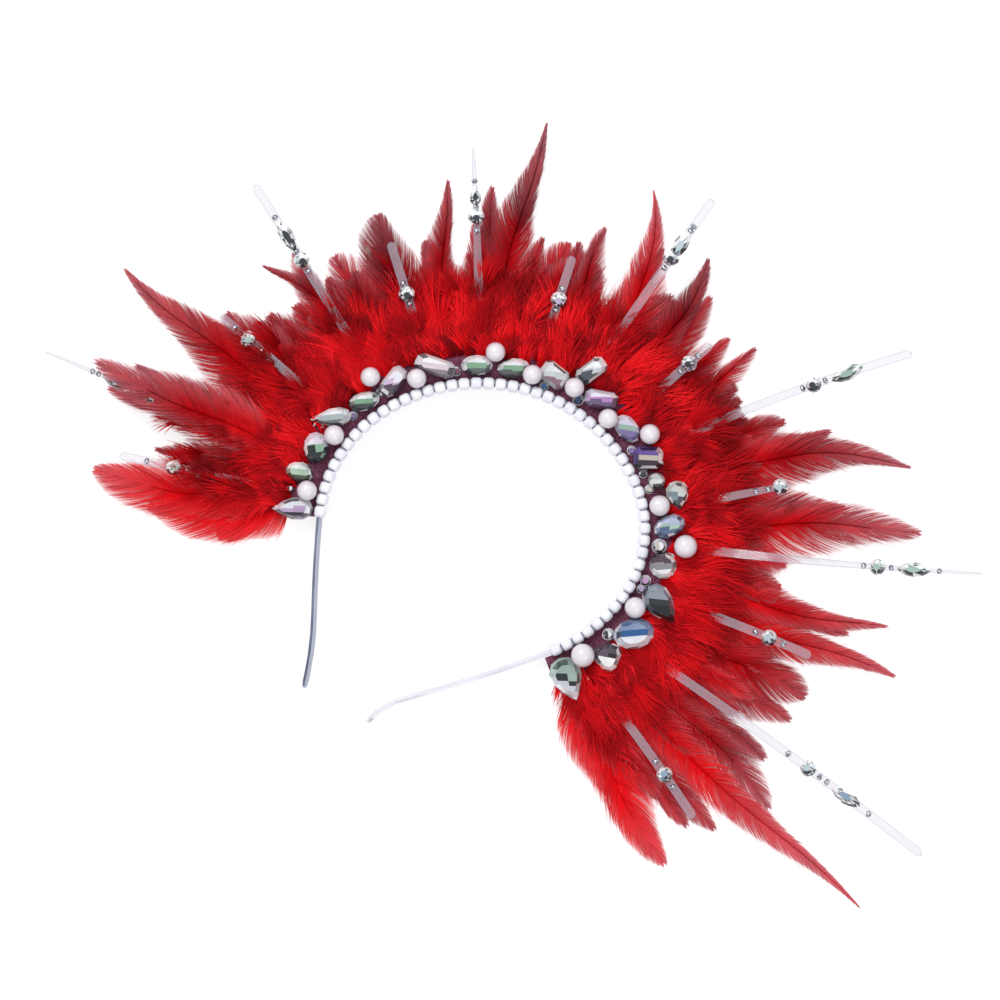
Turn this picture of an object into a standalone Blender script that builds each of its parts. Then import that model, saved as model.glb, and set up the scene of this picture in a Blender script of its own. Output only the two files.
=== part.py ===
"""Feather headband: a thin metal band with white beads, cut stones, pearls, red feathers and clear strips.

The headband lies flat. +Z points up and +Y points from its two tips towards the crown of the head.
"""
import math
from collections import namedtuple

import bmesh
import bpy
from mathutils import Matrix, Vector

MM = 0.001
GAP = 0.3
MERGE = 0.00001
SMOOTH_FLAT = 40.0
SMOOTH_ROUND = 60.0

# The band is a strip of metal that stands on its long edge and leans a little outwards.
BAND_HEIGHT = 6.0
BAND_THICKNESS = 1.0
BAND_LEAN = math.radians(12.0)
BAND_STEP = 8.0
BAND_TIP_STATIONS = (0.0, 0.9, 2.8)
BAND_TIP_LENGTH = 6.0
BAND_TIP_HALF = 0.9
BAND_START = (-28.0, -86.0)
BAND_HEADING = 108.7

# The line of the band, from its left tip round the crown to its right tip: lengths in mm, turns in degrees.
Stretch = namedtuple("Stretch", "place length turn")
BAND_STRETCHES = [
    Stretch("left tip flares out", 29.5, 13.0),
    Stretch("left leg", 39.3, -3.8),
    Stretch("left temple", 49.3, -50.9),
    Stretch("left of the crown", 55.5, -44.6),
    Stretch("crown", 64.7, -55.5),
    Stretch("right of the crown", 50.5, -63.1),
    Stretch("right temple", 35.0, -30.0),
    Stretch("right leg", 61.0, -6.2),
    Stretch("right tip flares out", 17.5, 37.0),
]

# The row of white beads is threaded side by side on the upper edge of the band.
BEAD_FIRST = 70.8
BEAD_PITCH = 4.9
BEAD_COUNT = 52
BEAD_RADIUS = 2.4
BEAD_NECK = 0.62
BEAD_SIDES = 10
BEAD_CENTRE_Z = BAND_HEIGHT + GAP + BEAD_RADIUS

# The felt strip that carries the stones lies against the outer side of the band.
BASE_INNER = 1.5
BASE_OUTER = 15.0
BASE_BOTTOM = 4.0
BASE_TOP = 6.0
BASE_FROM = 68.5
BASE_TO = 326.0
BASE_STEP = 9.0

# A cut stone has a wall in its setting, a crown of two rows of facets and a flat table.
STONE_SEAT = BASE_TOP + GAP
STONE_WALL = 1.8
STONE_BREAK = 0.86
STONE_TABLE = 0.56
STONE_FOOT = 0.92
STONE_BREAK_RISE = 0.45
PEAR_BELLY = 1.22
PEAR_TAPER = 0.8
TRILLION_BULGE = 0.12
OCTAGON = [(0.5, -0.28), (0.5, 0.28), (0.34, 0.5), (-0.34, 0.5),
           (-0.5, 0.28), (-0.5, -0.28), (-0.34, -0.5), (0.34, -0.5)]
STONE_SIDES = 10

# along and out are measured on the band's line, turn is from the outward way to the stone's long axis.
Stone = namedtuple("Stone", "shape along out length width height turn")
STONES = [
    Stone("pear", 70.6, 11.0, 16.5, 9.4, 5.5, 7),
    Stone("oval", 83.0, 11.8, 11.5, 8.4, 5.2, 0),
    Stone("oval", 92.6, 9.8, 12.6, 10.4, 5.4, -60),
    Stone("pear", 103.8, 12.0, 16.6, 7.8, 5.4, 48),
    Stone("oval", 115.8, 7.6, 12.8, 7.6, 5.0, 70),
    Stone("octagon", 128.4, 8.5, 13.4, 7.2, 5.2, -64),
    Stone("octagon", 144.4, 8.7, 16.6, 7.2, 5.4, 58),
    Stone("oval", 159.3, 7.1, 12.8, 8.2, 5.0, 89),
    Stone("oval", 172.6, 7.1, 13.2, 7.8, 5.0, -74),
    Stone("octagon", 187.4, 8.9, 12.0, 8.6, 5.2, -106),
    Stone("octagon", 197.8, 17.2, 13.0, 7.6, 5.4, -22),
    Stone("octagon", 205.9, 10.0, 13.6, 7.2, 5.4, -62),
    Stone("oval", 219.6, 9.0, 12.6, 8.8, 5.0, -88),
    Stone("octagon", 232.4, 9.2, 12.0, 9.2, 5.4, -29),
    Stone("round", 240.8, 8.2, 7.0, 7.0, 4.4, 0),
    Stone("pear", 247.2, 14.6, 12.0, 9.6, 5.2, -98),
    Stone("oval", 256.4, 10.0, 13.4, 9.0, 5.0, 24),
    Stone("round", 269.6, 9.3, 11.4, 10.8, 5.4, 0),
    Stone("pear", 281.4, 14.4, 18.0, 12.0, 6.4, -25),
    Stone("oval", 293.8, 13.0, 17.0, 12.2, 6.4, 56),
    Stone("trillion", 305.6, 12.8, 12.2, 12.2, 6.0, -30),
    Stone("pear", 321.0, 12.7, 18.2, 13.2, 6.2, 0),
]

# Pearls are round; lift is how far a pearl stands above the felt strip.
Pearl = namedtuple("Pearl", "along out width lift")
PEARLS = [
    Pearl(77.6, 6.6, 8.2, 1.1),
    Pearl(99.8, 6.4, 8.2, 1.2),
    Pearl(122.2, 14.4, 8.0, 0.3),
    Pearl(136.7, 6.0, 8.0, 1.1),
    Pearl(165.7, 12.5, 8.0, 0.6),
    Pearl(179.9, 6.2, 8.0, 2.1),
    Pearl(195.7, 7.9, 8.0, 1.5),
    Pearl(212.2, 6.0, 8.0, 1.5),
    Pearl(225.7, 14.7, 8.2, 0.6),
    Pearl(249.2, 6.7, 8.4, 0.4),
    Pearl(262.5, 16.6, 9.4, 0.3),
    Pearl(286.8, 6.5, 8.6, 0.7),
    Pearl(312.6, 6.9, 9.6, 1.6),
]
PEARL_SIDES = 10
PEARL_RINGS = 6

# Clear plastic strips fan out over the feathers. Angles are clockwise from +Y about the middle of the fan.
STRIP_WIDTH = 3.5
STRIP_THICKNESS = 0.8
STRIP_ROOT_Z = 5.2
STRIP_LEVEL_TO = 88.0
STRIP_RISE = 0.2
STRIP_ROOT_CLEAR = 0.3
STRIP_MIDDLE_ROLL = 0.6
STRIP_TIP_WIDTH = 0.45
Strip = namedtuple("Strip", "root_deg tip_deg reach bow tip_roll beads")
LONG_STRIPS = [
    Strip(-98.0, -99.0, 189.0, 0.0, 80, (("marquise", 158.0), ("round", 144.0))),
    Strip(-65.0, -65.0, 169.0, 0.0, 10, (("marquise", 145.5), ("round", 134.0))),
    Strip(-33.0, -34.0, 158.0, 0.0, 75, (("drop", 139.5), ("round", 131.0))),
    Strip(0.0, 1.0, 166.0, 0.0, 10, (("marquise", 144.0), ("round", 137.5))),
    Strip(28.5, 33.0, 188.0, 0.0, 10, (("marquise", 161.5), ("round", 147.5))),
    Strip(57.5, 60.2, 200.0, 2.6, 80, (("marquise", 173.0), ("round", 158.5))),
    Strip(90.0, 92.0, 214.0, 0.0, 5, (("marquise", 176.5), ("round", 158.0))),
]
SHORT_STRIPS = [
    Strip(-108.0, -109.0, 148.0, 0.0, 10, (("round", 126.0),)),
    Strip(-81.0, -81.5, 138.0, 0.0, 15, (("round", 124.0),)),
    Strip(-49.0, -49.5, 126.0, 0.0, 10, (("round", 104.5),)),
    Strip(-15.2, -15.2, 121.0, 0.0, 10, (("round", 103.0),)),
    Strip(16.0, 16.0, 122.0, 0.0, 15, (("round", 110.5),)),
    Strip(46.0, 46.0, 126.0, 0.0, 60, (("round", 122.0),)),
    Strip(73.0, 75.5, 139.0, 0.0, 5, (("round", 121.0),)),
    Strip(106.5, 108.9, 138.0, 0.0, 5, (("round", 117.5),)),
]
# Length along the strip, width and height of each kind of bead.
BEAD_SIZES = {"marquise": (14.0, 5.8, 5.4), "round": (5.6, 6.2, 6.2), "drop": (7.6, 5.8, 5.4)}
# Place along the bead and width, as shares of its length and its full width.
BEAD_PROFILES = {
    "marquise": ((-0.5, 0.66), (0.0, 1.0), (0.5, 0.66)),
    "round": ((-0.5, 0.64), (-0.22, 1.0), (0.22, 1.0), (0.5, 0.64)),
    "drop": ((-0.5, 0.66), (0.0, 1.0), (0.5, 0.66)),
}

# Feathers are glued below the felt strip, in seven bunches on backings of their own.
BACKING_INNER = 1.6
BACKING_OUTER = 15.0
BACKING_TOP = BASE_BOTTOM - GAP
BACKING_STEP = 11.0
BLADE_ROOT_INSIDE = 8.0
BLADE_ROOT_Z = 1.5
BLADE_ROOT_STEP = 0.035
BLADE_ROOT_SHIFT = 0.17
BLADE_RIDGE = 2.6
BLADE_WIDEST = 0.5
BLADE_ROOT_SHARE = 0.45
BLADE_TIP_WIDTH = 1.2
BLADE_END_RIDGE = 0.4
BLADE_RIDGE_PEAK = 1.1
BLADE_STATIONS = 5
FLUFF_RIDGE = 3.4
FLUFF_LEVEL = 0.25
Backing = namedtuple("Backing", "start end")
# Angles as for the strips; bow is the sideways swing of the middle, point is 0 for a round tip and 1 for a sharp one.
Blade = namedtuple("Blade", "root_deg tip_deg reach bow width tip_z point")
FEATHER_BUNCHES = [
    (Backing(69.0, 91.3), [
        Blade(-109, -112, 158, -2, 26, 2.6, 0.3),
        Blade(-111, -122, 110, -2, 20, 1.6, 0.1),
        Blade(-99, -97, 170, 1, 15, 4.6, 0.8),
        Blade(-103, -101, 160, 2, 15, 3.4, 0.8),
        Blade(-110, -117, 100, 0, 12, 8.0, 0.3),
        Blade(-103, -103, 108, 0, 10, 8.6, 0.3),
    ]),
    (Backing(91.7, 133.0), [
        Blade(-85, -85, 181, -4, 22, 5.0, 0.9),
        Blade(-79, -80, 127, 1, 20, 3.6, 0.4),
        Blade(-73, -74, 118, 0, 18, 2.4, 0.4),
        Blade(-68, -70, 141, 2, 12, 5.0, 0.8),
        Blade(-62, -61, 130, 0, 21, 3.0, 0.1),
        Blade(-88, -89, 108, 0, 11, 9.0, 0.3),
        Blade(-73, -73, 110, 0, 16, 9.0, 0.3),
        Blade(-61, -59, 108, 0, 11, 9.0, 0.3),
    ]),
    (Backing(133.4, 177.6), [
        Blade(-49, -50, 138, 0, 16, 3.6, 0.2),
        Blade(-45, -43, 120, 0, 16, 2.2, 0.3),
        Blade(-39, -38, 147, -4, 13, 5.0, 0.8),
        Blade(-33, -34, 118, 0, 18, 3.0, 0.3),
        Blade(-25, -24, 172, -3, 17, 5.0, 0.9),
        Blade(-28, -29, 145, 2, 13, 2.4, 0.6),
        Blade(-41, -41, 110, 0, 16, 9.0, 0.3),
        Blade(-25, -25, 108, 0, 15, 9.0, 0.3),
    ]),
    (Backing(178.0, 231.6), [
        Blade(-11, -11, 137, 1, 15, 3.4, 0.6),
        Blade(-4, -7, 159, 2, 17, 5.0, 0.9),
        Blade(2, -1, 142, 0, 11, 2.6, 0.5),
        Blade(4, 6, 146, 4, 12, 4.6, 0.8),
        Blade(10, 9, 121, 0, 18, 2.6, 0.3),
        Blade(17, 22, 136, 2, 15, 4.0, 0.7),
        Blade(22, 24, 121, 0, 13, 2.4, 0.3),
        Blade(-8, -8, 108, 0, 14, 9.0, 0.3),
        Blade(8, 8, 108, 0, 14, 9.0, 0.3),
        Blade(22, 22, 108, 0, 11, 9.0, 0.3),
    ]),
    (Backing(232.0, 267.8), [
        Blade(37, 47, 175, -5, 19, 4.6, 0.8),
        Blade(35, 33, 118, 0, 11, 2.6, 0.3),
        Blade(46, 47, 132, 0, 16, 2.2, 0.4),
        Blade(53, 57, 177, -4, 21, 5.0, 0.7),
        Blade(39, 39, 108, 0, 13, 9.0, 0.3),
        Blade(52, 52, 108, 0, 11, 9.0, 0.3),
    ]),
    (Backing(268.2, 295.6), [
        Blade(68, 68, 167, -1, 15, 4.4, 0.8),
        Blade(72, 75, 175, 0, 15, 3.0, 0.8),
        Blade(67, 66, 130, 0, 12, 2.0, 0.4),
        Blade(80, 82, 144, 0, 25, 3.4, 0.1),
        Blade(67, 66, 108, 0, 12, 9.0, 0.3),
        Blade(82, 82, 108, 0, 15, 9.0, 0.3),
    ]),
    (Backing(296.0, 325.6), [
        Blade(97, 100, 157, -3, 17, 3.4, 0.5),
        Blade(102, 101, 211, 3, 14, 5.0, 1.0),
        Blade(95, 94, 134, 0, 11, 2.2, 0.5),
        Blade(110, 117, 148, 2, 24, 3.6, 0.4),
        Blade(114, 122, 122, 2, 18, 2.4, 0.3),
        Blade(98, 99, 108, 0, 13, 9.0, 0.3),
        Blade(114, 116, 104, 0, 12, 9.0, 0.3),
    ]),
]
# Blades whose tips lie above this height are short, full ones that keep level near their roots.
FLUFF_MIN_Z = 7.0


def clear_scene():
    """Remove every object, so that the script gives the same result each time."""
    for obj in list(bpy.data.objects):
        bpy.data.objects.remove(obj)


def material(name, colour, roughness, metallic=0.0):
    """Make a plain surface with a colour, a roughness and a metallic value."""
    made = bpy.data.materials.new(name)
    made.use_nodes = True
    shader = made.node_tree.nodes["Principled BSDF"]
    shader.inputs["Base Color"].default_value = (*colour, 1.0)
    shader.inputs["Roughness"].default_value = roughness
    shader.inputs["Metallic"].default_value = metallic
    made.diffuse_color = (*colour, 1.0)
    return made


def band_line():
    """Walk along the band and return a list of (along, x, y, heading) every millimetre or so."""
    x, y = BAND_START
    heading = math.radians(BAND_HEADING)
    along = 0.0
    line = [(along, x, y, heading)]
    for stretch in BAND_STRETCHES:
        steps = max(1, round(stretch.length))
        step = stretch.length / steps
        turn = math.radians(stretch.turn) / steps
        for _ in range(steps):
            x += step * math.cos(heading + turn / 2)
            y += step * math.sin(heading + turn / 2)
            heading += turn
            along += step
            line.append((along, x, y, heading))
    return line


LINE = band_line()
BAND_LENGTH = LINE[-1][0]


def on_line(along):
    """Return the x, y and heading of the band's line at a distance from its left tip."""
    for (a0, x0, y0, h0), (a1, x1, y1, h1) in zip(LINE, LINE[1:]):
        if along <= a1:
            share = (along - a0) / (a1 - a0)
            return x0 + (x1 - x0) * share, y0 + (y1 - y0) * share, h0 + (h1 - h0) * share
    return LINE[-1][1:]


def beside(along, out, z):
    """Return the point that lies a distance outside the band's line, at a height."""
    x, y, heading = on_line(along)
    return Vector((x - out * math.sin(heading), y + out * math.cos(heading), z))


def outward_angle(along):
    """Return the direction that points straight out from the band's line."""
    return on_line(along)[2] + math.pi / 2


def fan_point(degrees, radius, z):
    """Return a point of the fan from its clockwise angle, its distance from the middle and its height."""
    angle = math.radians(degrees)
    return Vector((radius * math.sin(angle), radius * math.cos(angle), z))


def loft(rings):
    """Make a closed body through rings of points, by extruding the first ring's face from one to the next."""
    bm = bmesh.new()
    face = bm.faces.new([bm.verts.new(point) for point in rings[0]])
    for number, ring in enumerate(rings[1:]):
        made = bmesh.ops.extrude_face_region(bm, geom=[face])
        if number > 0:
            bmesh.ops.delete(bm, geom=[face], context="FACES_ONLY")
        face = next(item for item in made["geom"] if isinstance(item, bmesh.types.BMFace))
        for vert, point in zip(face.verts, ring):
            vert.co = point
    bmesh.ops.recalc_face_normals(bm, faces=bm.faces)
    bmesh.ops.triangulate(bm, faces=[item for item in bm.faces if len(item.verts) == 4])
    return bm


def as_object(name, bm, surface, smooth=None):
    """Turn a bmesh in millimetres into an object in metres."""
    bmesh.ops.scale(bm, vec=(MM, MM, MM), verts=bm.verts)
    mesh = bpy.data.meshes.new(name)
    bm.to_mesh(mesh)
    bm.free()
    mesh.materials.append(surface)
    if smooth is not None:
        mesh.shade_smooth()
        mesh.set_sharp_from_angle(angle=math.radians(smooth))
    obj = bpy.data.objects.new(name, mesh)
    bpy.context.scene.collection.objects.link(obj)
    return obj


def fuse(name, pieces, surface, smooth=None):
    """Join overlapping objects into one body with Boolean unions."""
    first, others = pieces[0], pieces[1:]
    for other in others:
        union = first.modifiers.new("union", "BOOLEAN")
        union.operation = "UNION"
        union.solver = "EXACT"
        union.object = other
    bpy.context.view_layer.update()
    depsgraph = bpy.context.evaluated_depsgraph_get()
    mesh = bpy.data.meshes.new_from_object(first.evaluated_get(depsgraph))
    for piece in pieces:
        bpy.data.objects.remove(piece)
    drop_slivers(mesh)
    mesh.name = name
    mesh.materials.clear()
    mesh.materials.append(surface)
    if smooth is not None:
        mesh.shade_smooth()
        mesh.set_sharp_from_angle(angle=math.radians(smooth))
    obj = bpy.data.objects.new(name, mesh)
    bpy.context.scene.collection.objects.link(obj)
    return obj


def drop_slivers(mesh):
    """Merge the points that a union leaves almost on top of each other."""
    bm = bmesh.new()
    bm.from_mesh(mesh)
    bmesh.ops.remove_doubles(bm, verts=bm.verts, dist=MERGE)
    bmesh.ops.dissolve_degenerate(bm, edges=bm.edges, dist=MERGE)
    bm.to_mesh(mesh)
    bm.free()


def stations(start, end, step):
    """Return evenly spaced distances from start to end, about a step apart."""
    count = max(2, round((end - start) / step) + 1)
    return [start + (end - start) * i / (count - 1) for i in range(count)]


def build_band(surface):
    """Sweep the leaning strip along the band's line and round off its two tips."""
    rings = []
    slope = math.tan(BAND_LEAN)
    places = list(BAND_TIP_STATIONS)
    places += stations(BAND_TIP_LENGTH, BAND_LENGTH - BAND_TIP_LENGTH, BAND_STEP)
    places += [BAND_LENGTH - place for place in reversed(BAND_TIP_STATIONS)]
    for along in places:
        from_tip = min(along, BAND_LENGTH - along, BAND_HEIGHT / 2)
        half = math.sqrt(max(0.0, 1.0 - (1.0 - from_tip / (BAND_HEIGHT / 2)) ** 2)) * BAND_HEIGHT / 2
        half = max(half, BAND_TIP_HALF)
        ring = []
        for side, level in ((-1, -1), (1, -1), (1, 1), (-1, 1)):
            out = side * BAND_THICKNESS / 2 + level * half * slope
            ring.append(beside(along, out, BAND_HEIGHT / 2 + level * half))
        rings.append(ring)
    return as_object("band", loft(rings), surface, SMOOTH_FLAT)


def build_bead_row(surface):
    """Sweep one round body along the band, thick at each bead and narrow where two beads meet."""
    rings = []
    start = BEAD_FIRST - BEAD_PITCH / 2
    for half_step in range(2 * BEAD_COUNT + 1):
        along = start + half_step * BEAD_PITCH / 2
        radius = BEAD_RADIUS * (1.0 if half_step % 2 else BEAD_NECK)
        ring = []
        for side in range(BEAD_SIDES):
            angle = 2 * math.pi * side / BEAD_SIDES
            ring.append(beside(along, radius * math.cos(angle), BEAD_CENTRE_Z + radius * math.sin(angle)))
        rings.append(ring)
    return as_object("bead_row", loft(rings), surface, SMOOTH_ROUND)


def ribbon_beside_band(start, end, step, inner, outer, bottom, top):
    """Loft a flat strip that follows the outer side of the band."""
    rings = []
    for along in stations(start, end, step):
        rings.append([beside(along, inner, bottom), beside(along, outer, bottom),
                      beside(along, outer, top), beside(along, inner, top)])
    return loft(rings)


def build_base(surface):
    """Make the felt strip below the stones."""
    bm = ribbon_beside_band(BASE_FROM, BASE_TO, BASE_STEP, BASE_INNER, BASE_OUTER, BASE_BOTTOM, BASE_TOP)
    return as_object("base_strip", bm, surface, SMOOTH_FLAT)


def stone_outline(shape):
    """Return the outline of a stone, 1 long and 1 wide, anticlockwise from its +X end."""
    if shape == "octagon":
        return OCTAGON
    points = []
    for i in range(STONE_SIDES):
        angle = 2 * math.pi * i / STONE_SIDES
        x, y = math.cos(angle) / 2, math.sin(angle) / 2
        if shape == "pear":
            y *= PEAR_BELLY * math.sin(angle / 2) ** PEAR_TAPER
        if shape == "trillion":
            bulge = 1 + TRILLION_BULGE * (math.cos(3 * angle) - 0.5)
            x, y = x * bulge, y * bulge
        points.append((x, y))
    return points


def build_stone(name, row, surface):
    """Cut a stone: its wall, two rows of crown facets and its table."""
    breaks_at = STONE_WALL + STONE_BREAK_RISE * (row.height - STONE_WALL)
    levels = [(0.0, STONE_FOOT), (STONE_WALL, 1.0), (breaks_at, STONE_BREAK), (row.height, STONE_TABLE)]
    turn = Matrix.Rotation(outward_angle(row.along) + math.radians(row.turn), 4, "Z")
    place = Matrix.Translation(beside(row.along, row.out, STONE_SEAT)) @ turn
    outline = stone_outline(row.shape)
    rings = []
    for z, size in levels:
        rings.append([place @ Vector((x * row.length * size, y * row.width * size, z)) for x, y in outline])
    return as_object(name, loft(rings), surface)


def build_pearl(name, row, surface):
    """Make a round pearl that stands above the felt strip."""
    bm = bmesh.new()
    bmesh.ops.create_uvsphere(bm, u_segments=PEARL_SIDES, v_segments=PEARL_RINGS, radius=row.width / 2)
    centre = beside(row.along, row.out, BASE_TOP + row.lift + row.width / 2)
    bmesh.ops.translate(bm, vec=centre, verts=bm.verts)
    return as_object(name, bm, surface, SMOOTH_ROUND)


def strip_degrees(row, root, radius):
    """Return the fan angle of a strip at a distance from the middle: from root to tip, with a sideways bow."""
    share = (radius - root) / (row.reach - root)
    bow = math.degrees(row.bow * 4 * share * (1 - share) / radius)
    return row.root_deg + (row.tip_deg - row.root_deg) * share + bow


def strip_height(radius):
    """Return the height of a strip's middle: level up to the stones' edge, then rising."""
    return STRIP_ROOT_Z + max(0.0, radius - STRIP_LEVEL_TO) * STRIP_RISE


def edge_radius(degrees):
    """Return how far the outer edge of the felt strip is from the middle of the fan, at an angle."""
    way = fan_point(degrees, 1.0, 0.0)
    edges = [beside(along, BASE_OUTER, 0.0) for along in stations(BASE_FROM, BASE_TO, 1.0)]
    return max(edges, key=lambda edge: edge.normalized().dot(way)).length


def build_strip(name, row, surface):
    """Make a clear strip with a rounded tip, and fuse its glass beads to it."""
    root = edge_radius(row.root_deg) + GAP + STRIP_ROOT_CLEAR
    middle = (STRIP_LEVEL_TO + row.reach) / 2
    near_tip = row.reach - STRIP_WIDTH / 2
    table = [(root, 0.0, 1.0), (STRIP_LEVEL_TO, 0.0, 1.0), (middle, STRIP_MIDDLE_ROLL, 1.0),
             (near_tip, 1.0, 1.0), (row.reach, 1.0, STRIP_TIP_WIDTH)]
    rings = []
    for radius, rolled, width in table:
        degrees = strip_degrees(row, root, radius)
        roll = math.radians(row.tip_roll) * rolled
        rings.append(strip_ring(degrees, radius, roll, STRIP_WIDTH / 2 * width))
    pieces = [as_object(name, loft(rings), surface)]
    for kind, radius in row.beads:
        pieces.append(build_strip_bead(kind, radius, row, root, surface))
    return fuse(name, pieces, surface, SMOOTH_FLAT)


def strip_ring(degrees, radius, roll, half):
    """Return the four corners of a strip's section, square to its length and rolled about it."""
    centre = fan_point(degrees, radius, strip_height(radius))
    angle = math.radians(degrees)
    side = Vector((math.cos(angle), -math.sin(angle), 0.0))
    up = Vector((0.0, 0.0, 1.0))
    across = side * math.cos(roll) + up * math.sin(roll)
    through = up * math.cos(roll) - side * math.sin(roll)
    thick = STRIP_THICKNESS / 2
    return [centre - across * half - through * thick, centre + across * half - through * thick,
            centre + across * half + through * thick, centre - across * half + through * thick]


def build_strip_bead(kind, radius, row, root, surface):
    """Make one glass bead round a strip, with a flat end where the strip goes in and comes out."""
    length, width, height = BEAD_SIZES[kind]
    degrees = strip_degrees(row, root, radius)
    angle = math.radians(degrees)
    way = Vector((math.sin(angle), math.cos(angle), STRIP_RISE)).normalized()
    side = Vector((math.cos(angle), -math.sin(angle), 0.0))
    up = side.cross(way)
    centre = fan_point(degrees, radius, strip_height(radius))
    rings = []
    for place, size in BEAD_PROFILES[kind]:
        ring = []
        for i in range(BEAD_SIDES):
            turn = 2 * math.pi * i / BEAD_SIDES
            ring.append(centre + way * length * place + side * width / 2 * size * math.cos(turn)
                        + up * height / 2 * size * math.sin(turn))
        rings.append(ring)
    return as_object(kind, loft(rings), surface)


def build_blade(row, number, surface):
    """Make one feather: a long body with a diamond section on a bowed spine."""
    fluffy = row.tip_z > FLUFF_MIN_Z
    ridge = FLUFF_RIDGE if fluffy else BLADE_RIDGE
    root_z = BLADE_ROOT_Z + BLADE_ROOT_STEP * number
    root = edge_radius(row.root_deg) - BLADE_ROOT_INSIDE + BLADE_ROOT_SHIFT * number
    start = fan_point(row.root_deg, root, root_z)
    end = fan_point(row.tip_deg, row.reach, row.tip_z)
    way = Vector((end.x - start.x, end.y - start.y, 0.0)).normalized()
    side = Vector((way.y, -way.x, 0.0))
    rings = []
    for i in range(BLADE_STATIONS + 1):
        share = i / BLADE_STATIONS
        centre = start.lerp(end, share) + side * row.bow * 4 * share * (1 - share)
        if fluffy:
            centre.z = root_z + (row.tip_z - root_z) * max(0.0, share - FLUFF_LEVEL) / (1.0 - FLUFF_LEVEL)
        width = blade_width(row, share)
        swell = math.sin(math.pi * min(1.0, BLADE_RIDGE_PEAK * share))
        thick = ridge * (BLADE_END_RIDGE + (1 - BLADE_END_RIDGE) * swell)
        rings.append([centre - side * width / 2, centre - Vector((0, 0, thick / 2)),
                      centre + side * width / 2, centre + Vector((0, 0, thick / 2))])
    return as_object("blade", loft(rings), surface)


def blade_width(row, share):
    """Return the width of a feather: narrow at its root, widest in the middle, round or sharp at its tip."""
    if share <= BLADE_WIDEST:
        return row.width * (BLADE_ROOT_SHARE + (1 - BLADE_ROOT_SHARE) * math.sin(math.pi / 2 * share / BLADE_WIDEST))
    left = (1.0 - share) / (1.0 - BLADE_WIDEST)
    round_end = math.sqrt(1.0 - (1.0 - left) ** 2)
    width = row.width * (round_end * (1 - row.point) + left * row.point)
    return max(width, BLADE_TIP_WIDTH)


def build_bunch(name, bunch, surface):
    """Fuse the feathers of one bunch to their backing."""
    backing, blades = bunch
    body = ribbon_beside_band(backing.start, backing.end, BACKING_STEP, BACKING_INNER, BACKING_OUTER,
                              0.0, BACKING_TOP)
    pieces = [as_object(name, body, surface)]
    for number, row in enumerate(blades):
        pieces.append(build_blade(row, number, surface))
    return fuse(name, pieces, surface)


def stand_on_origin():
    """Move everything so that the origin is at the middle of the bottom of the whole headband."""
    points = [vert.co for obj in bpy.data.objects for vert in obj.data.vertices]
    low = Vector([min(p[axis] for p in points) for axis in range(3)])
    high = Vector([max(p[axis] for p in points) for axis in range(3)])
    shift = Vector((-(low.x + high.x) / 2, -(low.y + high.y) / 2, -low.z))
    for obj in bpy.data.objects:
        obj.location = shift


def main():
    clear_scene()
    build_band(material("steel", (0.62, 0.63, 0.68), 0.25, 1.0))
    build_bead_row(material("white bead", (0.9, 0.9, 0.93), 0.15))
    build_base(material("plum felt", (0.07, 0.02, 0.04), 0.9))
    glass = material("cut glass", (0.62, 0.68, 0.72), 0.05)
    for number, row in enumerate(STONES, 1):
        build_stone(f"stone_{number:02d}", row, glass.copy())
    pearl = material("pearl", (0.93, 0.88, 0.89), 0.2)
    for number, row in enumerate(PEARLS, 1):
        build_pearl(f"pearl_{number:02d}", row, pearl.copy())
    clear = material("clear plastic", (0.9, 0.9, 0.93), 0.08)
    for number, row in enumerate(LONG_STRIPS, 1):
        build_strip(f"long_strip_{number}", row, clear.copy())
    for number, row in enumerate(SHORT_STRIPS, 1):
        build_strip(f"short_strip_{number}", row, clear.copy())
    red = material("red feather", (0.55, 0.01, 0.02), 0.7)
    for number, bunch in enumerate(FEATHER_BUNCHES, 1):
        build_bunch(f"feathers_{number}", bunch, red.copy())
    stand_on_origin()


main()
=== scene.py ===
# %% [markdown]
# # A feather headband, lying flat
# The real thing is a thin steel band with white beads tied along it, a felt strip of cut stones and pearls,
# a fan of red dyed feathers and fifteen clear plastic strips that carry glass beads.
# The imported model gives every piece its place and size. This script adds the finish: each piece is either the
# packed one with a better surface, or a finer piece that stands in the same place.

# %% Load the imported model
import math
from collections import namedtuple

import bmesh
import bpy
import numpy as np
from mathutils import Matrix, Vector


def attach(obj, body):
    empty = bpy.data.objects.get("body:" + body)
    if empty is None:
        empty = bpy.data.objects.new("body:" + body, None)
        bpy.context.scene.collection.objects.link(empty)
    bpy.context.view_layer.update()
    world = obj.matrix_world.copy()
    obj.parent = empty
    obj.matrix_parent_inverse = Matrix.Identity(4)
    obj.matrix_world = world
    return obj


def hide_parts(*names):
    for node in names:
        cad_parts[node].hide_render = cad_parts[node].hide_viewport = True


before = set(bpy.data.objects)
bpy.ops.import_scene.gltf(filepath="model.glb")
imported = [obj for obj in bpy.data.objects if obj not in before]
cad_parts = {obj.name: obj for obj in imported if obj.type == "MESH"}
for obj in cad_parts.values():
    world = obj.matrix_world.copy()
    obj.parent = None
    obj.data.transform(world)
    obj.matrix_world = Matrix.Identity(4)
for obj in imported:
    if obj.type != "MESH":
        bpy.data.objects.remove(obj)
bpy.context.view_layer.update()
MM = 0.001
print("packed nodes:", len(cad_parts))

# %% [markdown]
# ## Camera
# The photo looks straight down on the headband, which is turned by 33 degrees in the picture. A very long lens
# from far away keeps the raised strips from spreading outwards, as a catalogue photo does.
# It could also be an orthographic camera, but a long lens keeps a little depth when the view is turned.

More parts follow.
